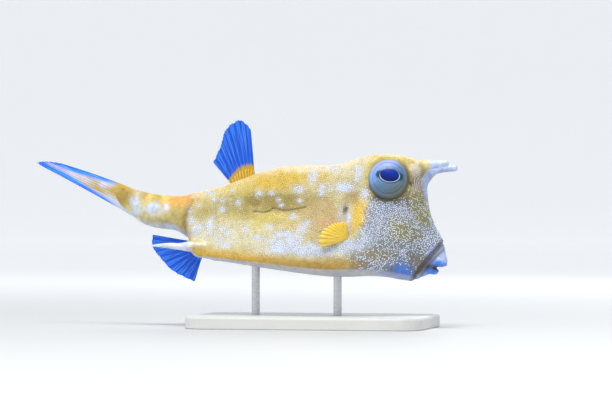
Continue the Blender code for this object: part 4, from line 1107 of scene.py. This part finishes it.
def sheet_mesh(name, flat, lift, thick, fan, place):
    """A closed thin body from a grid of flat places, its lift, its thickness and its fan masks."""
    wide, tall = flat.shape[:2]
    size = wide * tall
    here = []
    for way in (0.5, -0.5):
        here.append(np.concatenate([flat, (lift + way * thick)[..., None]], axis=-1).reshape(-1, 3))
    here = swayed([tuple(place @ Vector(p)) for p in np.concatenate(here)])
    index = np.arange(size).reshape(wide, tall)
    quads = np.stack(
        [index[:-1, :-1], index[1:, :-1], index[1:, 1:], index[:-1, 1:]], axis=-1
    ).reshape(-1, 4)
    edge = np.concatenate([index[:, 0], index[-1, 1:], index[-2::-1, -1], index[0, -2:0:-1]])
    walls = [(int(a), int(a) + size, int(b) + size, int(b)) for a, b in zip(edge, np.roll(edge, -1))]
    made = mesh_from(name, here, quads.tolist() + (quads[:, ::-1] + size).tolist() + walls)
    store(made, "fan", np.concatenate([fan.reshape(-1, 3)] * 2))
    put(made, on_stand(places_of(made)))
    made.shade_smooth()
    made.set_sharp_from_angle(angle=math.radians(60))
    return made


def fan_places(fin, columns):
    """The places along a fin's root and along its edge."""
    first, last = (np.array(p) for p in fin["root"])
    root = first + (last - first) * columns[:, None]
    rows = through([k[0] for k in fin["fan"]], [k[1:] for k in fin["fan"]], columns)
    turn = np.radians(rows[:, 0])
    tips = np.array(fin["centre"]) + rows[:, 1:] * np.stack([np.cos(turn), np.sin(turn)], axis=1)
    return root, tips


def fin_pieces(name, fin, place, rays_skin, lobe_skin):
    """The rayed sheet and the fleshy lobe of one fin."""
    rays = fin["rays"]
    columns = np.linspace(0, 1, (rays - 1) * 16 + 1)
    root, tips = fan_places(fin, columns)
    lobe = through([k[0] for k in fin["lobe"]], [[k[1]] for k in fin["lobe"]], columns)[:, 0]
    u = columns[:, None]
    finger = np.abs(np.cos(math.pi * columns * (rays - 1)))
    # the sheet starts inside the lobe
    rows = np.linspace(0, 1, 60)[None, :]
    edge = 1 - 0.022 * (1 - ray_field(columns, np.ones_like(columns), rays))
    edge = edge - 0.008 * ripple(np.stack([columns * 60] * 3, axis=1), 9, 4)
    start = lobe * 0.75
    v = start[:, None] + (edge[:, None] - start[:, None]) * rows
    ray = ray_field(u, v, rays)
    flat = root[:, None] + (tips - root)[:, None] * v[..., None]
    thick = (MEMBRANE + (RAY_THICK - MEMBRANE) * ray) * (1 - 0.55 * v)
    pleat = 0.10 * np.cos(2 * math.pi * u * (rays - 1)) * v
    fan = np.stack([u + 0 * v, v, ray], axis=-1)
    sheet = sheet_mesh(name + "_rays", flat, fin["lift"](u, v) + pleat, thick, fan, place)
    sheet = piece_from(name + "_rays", sheet)
    sheet.data.materials.append(rays_skin)
    # the lobe ends in a row of rounded fingers, one over each ray
    rows = np.sin(np.linspace(0, math.pi / 2, 34))[None, :]
    reach = lobe * (0.90 + 0.10 * finger)
    v = -0.02 + (reach[:, None] + 0.02) * rows
    share = np.clip(v / reach[:, None], 0, 1)
    dome = np.sqrt(np.clip(1 - share**2.4, 0, 1)) * (1 - np.abs(2 * u - 1) ** 6 * 0.6)
    groove = 1 - 0.14 * (1 - finger[:, None]) * eased(share, 0.1, 0.7)
    thick = (RAY_THICK + 0.1 + fin["flesh"] * dome) * groove
    thick = thick * np.sqrt(np.clip(1 - share**10, 0.05, 1))
    flat = root[:, None] + (tips - root)[:, None] * v[..., None]
    fan = np.stack([u + 0 * v, share, np.broadcast_to(finger[:, None], share.shape)], axis=-1)
    flesh_lobe = sheet_mesh(name + "_lobe", flat, fin["lift"](u, v), thick, fan, place)
    flesh_lobe = piece_from(name + "_lobe", flesh_lobe)
    flesh_lobe.data.materials.append(lobe_skin)
    for piece, solid, slot in ((sheet, name, "fin"), (flesh_lobe, name + "_base", "fin_base")):
        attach(piece, "root")
        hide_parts(solid)


def fibres(tree, shader, across, outwards):
    """A grain drawn out along a fan's rays, across and outwards giving its marks per fan."""
    drawn = node(tree, "ShaderNodeVectorMath", operation="MULTIPLY")
    drawn.inputs[1].default_value = (across, outwards, 0.0)
    wire(tree, (stored(tree, "fan")["Vector"], drawn.inputs[0]))
    return grained(tree, shader, drawn.outputs[0], 1.0, 4.0, 0.3, 0.0003)


def ray_material(name, membrane, ray, clear, streaks, flame):
    """Thin coloured skin over paler rays: clear is how much of each shows, flame tints their roots."""
    made, tree, shader = surface(name, roughness=0.45, specular_ior_level=0.25)
    outwards, on_ray = parts_of(tree, "fan")[1:]
    fibre = fibres(tree, shader, 44.0, 2.2)
    hue = blend(tree, ranged(tree, fibre, 0.3, 0.6), tuple(c * 0.7 for c in membrane), membrane)
    hue = blend(tree, times(tree, on_ray, 0.6), hue, ray)
    hue = blend(tree, times(tree, ranged(tree, fibre, 0.52, 0.7), streaks), hue, (0.20, 0.46, 0.95))
    root = ranged(tree, plus(tree, outwards, times(tree, fibre, -0.22)), 0.11, 0.19, 1.0, 0.0)
    hue = blend(tree, root, hue, flame)
    wire(tree, (hue, shader.inputs["Base Color"]))
    wire(tree, (ranged(tree, on_ray, 0.0, 1.0, clear[0], clear[1]), shader.inputs["Alpha"]))
    return made


def lobe_material(name, crest, furrow_shade):
    """Fleshy skin, streaked along its fingers, with a little painted shade between them and near the root.
    """
    made, tree, shader = surface(
        name, coat_weight=0.15, coat_roughness=0.3, subsurface_weight=0.15, subsurface_scale=0.002
    )
    outwards, on_finger = parts_of(tree, "fan")[1:]
    speckle = fibres(tree, shader, 40.0, 3.5)
    between = plus(tree, on_finger, times(tree, minus(tree, speckle, 0.5), 2.0))
    between = ranged(tree, between, 0.0, 0.75, 0.75, 0.0)
    hue = blend(tree, ranged(tree, speckle, 0.3, 0.62), tuple(c * 0.8 for c in crest), crest)
    # painted shade between the fingers and towards the root
    hue = blend(tree, between, hue, furrow_shade)
    hue = blend(tree, ranged(tree, outwards, 0.0, 0.3, 0.4, 0.0), hue, furrow_shade)
    wire(tree, (hue, shader.inputs["Base Color"]))
    wire(tree, (ranged(tree, speckle, 0.3, 0.7, 0.38, 0.55), shader.inputs["Roughness"]))
    return made


# the second colour of each lobe is its painted shade
LOBE_OCHRE = lobe_material("fin root flesh", (0.60, 0.36, 0.008), (0.26, 0.14, 0.004))
LOBE_YELLOW = lobe_material("pectoral flesh", (0.98, 0.72, 0.09), (0.74, 0.36, 0.02))
FIN_BLUE = ray_material(
    "fin blue", (0.006, 0.085, 0.66), (0.05, 0.32, 1.0), (0.93, 1.0), 0.3, (0.56, 0.34, 0.01)
)
ANAL_BLUE = ray_material(
    "anal fin blue", (0.004, 0.085, 0.72), (0.07, 0.34, 1.0), (0.93, 1.0), 0.35, (0.01, 0.12, 0.75)
)
LOBE_BLUE = lobe_material("anal fin root flesh", (0.05, 0.22, 0.85), (0.006, 0.08, 0.55))
FIN_CLEAR = ray_material(
    "clear fin", (0.62, 0.52, 0.34), (0.80, 0.66, 0.42), (0.05, 0.22), 0.0, (0.90, 0.64, 0.12)
)
UPRIGHT = Matrix(((1, 0, 0, 0), (0, 0, -1, 0), (0, 1, 0, 0), (0, 0, 0, 1)))
fin_pieces("dorsal_fin", DORSAL, UPRIGHT, FIN_BLUE, LOBE_OCHRE)
fin_pieces("anal_fin", ANAL, UPRIGHT, ANAL_BLUE, LOBE_BLUE)
for side, word in SIDES:
    up = Vector((0, -math.sin(PECTORAL_LEAN), math.cos(PECTORAL_LEAN)))
    ahead = Vector((math.cos(PECTORAL_OUT), math.sin(PECTORAL_OUT), 0))
    set_in = Matrix.Diagonal((1, -side, 1, 1)) @ Matrix.Translation(side_of_box(*PECTORAL_PLACE, -1)[0])
    set_in = set_in @ Matrix((ahead, up, ahead.cross(up).normalized())).transposed().to_4x4()
    fin_pieces("pectoral_fin_" + word, PECTORAL, set_in, FIN_CLEAR, LOBE_YELLOW)

CAUDAL_RAYS = 10
CAUDAL_ROOT = ((-146.9, 13.4), (-141.9, -7.4))
CAUDAL_TIPS = (
    (0.0, -197.0, 25.4), (0.11, -201.4, 26.2), (0.22, -205.6, 26.6), (0.33, -209.6, 26.8),
    (0.44, -213.2, 26.8), (0.55, -216.4, 26.6), (0.67, -219.0, 26.2), (0.78, -220.6, 25.4),
    (0.89, -218.4, 24.0), (1.0, -214.6, 22.4),
)
CAUDAL_BOW = 0.5


def caudal_material():
    """Pale pinkish flesh with ochre blotches down the middle of the closed fan, clear blue at its edges."""
    made, tree, shader = surface("tail fin", roughness=0.42, specular_ior_level=0.3)
    across_fin, outwards = parts_of(tree, "fan")[:2]
    fibre = fibres(tree, shader, 22.0, 3.0)
    blotch = noise_at(tree, object_place(tree), 95.0, 3.0)
    jitter = times(tree, minus(tree, fibre, 0.5), 0.45)
    off = math_node(tree, "ABSOLUTE", minus(tree, across_fin, 0.5))
    blue = plus(tree, plus(tree, off, jitter), ranged(tree, outwards, 0.0, 1.0, -0.10, 0.26))
    middle = blend(tree, ranged(tree, fibre, 0.35, 0.65), (0.46, 0.43, 0.74), (0.74, 0.70, 0.84))
    ochre = ranged(tree, plus(tree, blotch, times(tree, jitter, 0.25)), 0.42, 0.66)
    ochre = times(tree, ochre, ranged(tree, outwards, 0.30, 0.74, 1.0, 0.0))
    ochre = times(tree, ochre, ranged(tree, off, 0.16, 0.34, 1.0, 0.0))
    middle = blend(tree, ochre, middle, (0.50, 0.36, 0.09))
    edge = blend(tree, ranged(tree, fibre, 0.35, 0.6), (0.003, 0.13, 0.80), (0.04, 0.34, 1.0))
    edge = blend(tree, times(tree, ranged(tree, fibre, 0.54, 0.68), 0.6), edge, (0.5, 0.66, 0.95))
    hue = blend(tree, ranged(tree, blue, 0.22, 0.40), middle, edge)
    hue = blend(tree, ranged(tree, plus(tree, outwards, jitter), 0.9, 1.0), hue, (0.04, 0.20, 0.95))
    stem = blend(tree, ranged(tree, across_fin, 0.45, 0.85), (0.50, 0.36, 0.05), (0.58, 0.62, 0.74))
    near = plus(tree, outwards, plus(tree, times(tree, jitter, 0.25), times(tree, off, 0.16)))
    hue = blend(tree, ranged(tree, near, 0.15, 0.36, 1.0, 0.0), hue, stem)
    wire(tree, (hue, shader.inputs["Base Color"]))
    return made


columns = np.linspace(0, 1, (CAUDAL_RAYS - 1) * 14 + 1)
first, last = (np.array(p) for p in CAUDAL_ROOT)
root = first + (last - first) * columns[:, None]
tips = through([k[0] for k in CAUDAL_TIPS], [k[1:] for k in CAUDAL_TIPS], columns)
u, rows = columns[:, None], np.linspace(-0.06, 1, 110)[None, :]
edge = 1 - 0.02 * (1 - ray_field(columns, np.ones_like(columns), CAUDAL_RAYS))
v = np.where(rows > 0, rows * edge[:, None], rows)
ray = ray_field(u, v, CAUDAL_RAYS, 0.3)
flat = root[:, None] + (tips - root)[:, None] * v[..., None]
flat[..., 1] += CAUDAL_BOW * 4 * v * (1 - v)
thick = (0.9 + 3.0 * np.exp(-4.0 * np.clip(v, 0, 1))) * (1 - 0.8 * np.abs(2 * u - 1) ** 3)
thick = thick + 0.25 * ray * np.clip(v * 6, 0, 1)
pleat = 0.12 * np.cos(2 * math.pi * u * (CAUDAL_RAYS - 1)) * np.clip(v, 0, 1) ** 0.7
fan = np.stack([u + 0 * v, v, ray], axis=-1)
tail = piece_from("caudal_fin_rays", sheet_mesh("caudal_fin_rays", flat, pleat, thick, fan, UPRIGHT))
tail.data.materials.append(caudal_material())
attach(tail, "root")
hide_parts("caudal_fin")

# The stand
# A slab with rounded edges in satin white lacquer, and two brushed steel rods that rise from it and end
# in the belly, where they carry the fish. Their shapes are the solids' own.

def slab_material():
    """Satin lacquer with a fine unevenness."""
    made, tree, shader = surface("white lacquer")
    cloud = noise_at(tree, object_place(tree), 24.0, 4.0)
    grained(tree, shader, object_place(tree), 1400.0, 2.0, 0.12, 0.0002)
    wire(tree, (blend(tree, cloud, (0.66, 0.655, 0.63), (0.74, 0.735, 0.71)), shader.inputs["Base Color"]))
    wire(tree, (ranged(tree, cloud, 0.3, 0.7, 0.32, 0.44), shader.inputs["Roughness"]))
    return made


def steel_material():
    """Steel brushed round the rod."""
    made, tree, shader = surface("brushed steel", metallic=1.0)
    stretch = node(tree, "ShaderNodeMapping", scale_in=(40.0, 40.0, 5200.0))
    wire(tree, (object_place(tree), stretch.inputs["Vector"]))
    brush = grained(tree, shader, stretch.outputs[0], 1.0, 3.0, 0.06, 0.0001)
    wire(tree, (blend(tree, brush, (0.50, 0.51, 0.53), (0.58, 0.59, 0.61)), shader.inputs["Base Color"]))
    wire(tree, (ranged(tree, brush, 0.3, 0.7, 0.22, 0.38), shader.inputs["Roughness"]))
    return made


STEEL, LACQUER = steel_material(), slab_material()
for name, finish in (("stand_rod_rear", STEEL), ("stand_rod_front", STEEL), ("stand_base", LACQUER)):
    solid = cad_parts[name]
    solid.data.materials.clear()
    solid.data.materials.append(finish)

# Floor, light and camera
# A pale studio floor that bends up far behind the model, a key light above it, a fill and a rear light.
# The camera stands level, off the fish's right and a little ahead of square, as in the photograph.

FLOOR_REACH, FLOOR_BEND, FLOOR_SIDES = 5.0, 2.5, 128
CAMERA_TURN, CAMERA_REACH, SENSOR = math.radians(13.0), 2.2, 36.0
PHOTO_WIDTH, PIXEL = 612, 0.00072
AIM_BACK, AIM_UP = 0.01008, 0.01296


def floor_material(name, colour, roughness, glow):
    """A pale studio surface with a faint unevenness, which glows more the farther it is from the fish."""
    made, tree, shader = surface(name, roughness=roughness, emission_strength=glow)
    place = object_place(tree)
    far = node(tree, "ShaderNodeVectorMath", operation="LENGTH")
    wire(tree, (place, far.inputs[0]))
    dull, dim = tuple(c * 0.97 for c in colour), tuple(c * 0.1 for c in colour)
    wire(tree, (blend(tree, noise_at(tree, place, 3.0, 3.0), dull, colour), shader.inputs["Base Color"]))
    glowing = blend(tree, ranged(tree, far.outputs["Value"], 0.1, 1.5), dim, colour)
    wire(tree, (glowing, shader.inputs["Emission Color"]))
    return made


sweep = [(0.02, 0.0), (FLOOR_REACH / 2, 0.0), (FLOOR_REACH, 0.0)]
for a in np.linspace(0.05, math.pi / 2, 24):
    sweep.append((FLOOR_REACH + FLOOR_BEND * math.sin(a), FLOOR_BEND * (1 - math.cos(a))))
sweep.append((FLOOR_REACH + FLOOR_BEND, FLOOR_BEND + 2.0))
spin = np.linspace(0, 2 * math.pi, FLOOR_SIDES, endpoint=False)
rings = np.array([[(r * math.cos(a), r * math.sin(a), h) for a in spin] for r, h in sweep])
index = np.arange(rings.shape[0] * FLOOR_SIDES).reshape(-1, FLOOR_SIDES)
turned = np.roll(index, -1, axis=1)
walls = np.stack([index[:-1], turned[:-1], turned[1:], index[1:]], axis=-1).reshape(-1, 4)
bowl = bpy.data.meshes.new("floor")
bowl.from_pydata([tuple(p) for p in rings.reshape(-1, 3)], [], [*walls.tolist(), index[0][::-1].tolist()])
bowl.shade_smooth()
floor = piece_from("floor", bowl)
floor.data.materials.append(floor_material("pale floor", (0.58, 0.59, 0.60), 0.6, 0.85))

world = bpy.data.worlds.new("studio")
bpy.context.scene.world = world
world.use_nodes = True
backdrop = world.node_tree.nodes["Background"]
backdrop.inputs["Color"].default_value = (0.80, 0.86, 0.94, 1.0)
backdrop.inputs["Strength"].default_value = 0.40
for name, place, size, watts, colour in (
    ("key", (0.1, -0.45, 1.2), 0.5, 14.0, (1.0, 0.98, 0.94)),
    ("fill", (-1.2, -0.9, 0.5), 0.9, 3.0, (0.9, 0.95, 1.0)),
    ("rear", (0.2, 1.1, 0.9), 0.8, 5.0, (0.95, 0.98, 1.0)),
):
    light = bpy.data.lights.new(name, "AREA")
    light.energy, light.size, light.color = watts, size, colour
    lamp = bpy.data.objects.new(name, light)
    bpy.context.scene.collection.objects.link(lamp)
    lamp.location = place
    lamp.rotation_euler = (Vector((0, 0, 0.08)) - Vector(place)).to_track_quat("-Z", "Y").to_euler()

camera_data = bpy.data.cameras.new("camera")
camera = bpy.data.objects.new("camera", camera_data)
bpy.context.scene.collection.objects.link(camera)
camera_data.sensor_width = SENSOR
camera_data.lens = SENSOR * CAMERA_REACH / (PHOTO_WIDTH * PIXEL)
away = Vector((math.sin(CAMERA_TURN), -math.cos(CAMERA_TURN), 0.0))
across = Vector((math.cos(CAMERA_TURN), math.sin(CAMERA_TURN), 0.0))
aim = STANCE.translation - across * AIM_BACK + Vector((0, 0, AIM_UP))
camera.location = aim + away * CAMERA_REACH
camera.rotation_euler = (-away).to_track_quat("-Z", "Y").to_euler()
camera_data.clip_start, camera_data.clip_end = 0.05, 50.0
bpy.context.scene.camera = camera
bpy.context.scene.view_settings.view_transform = "Standard"
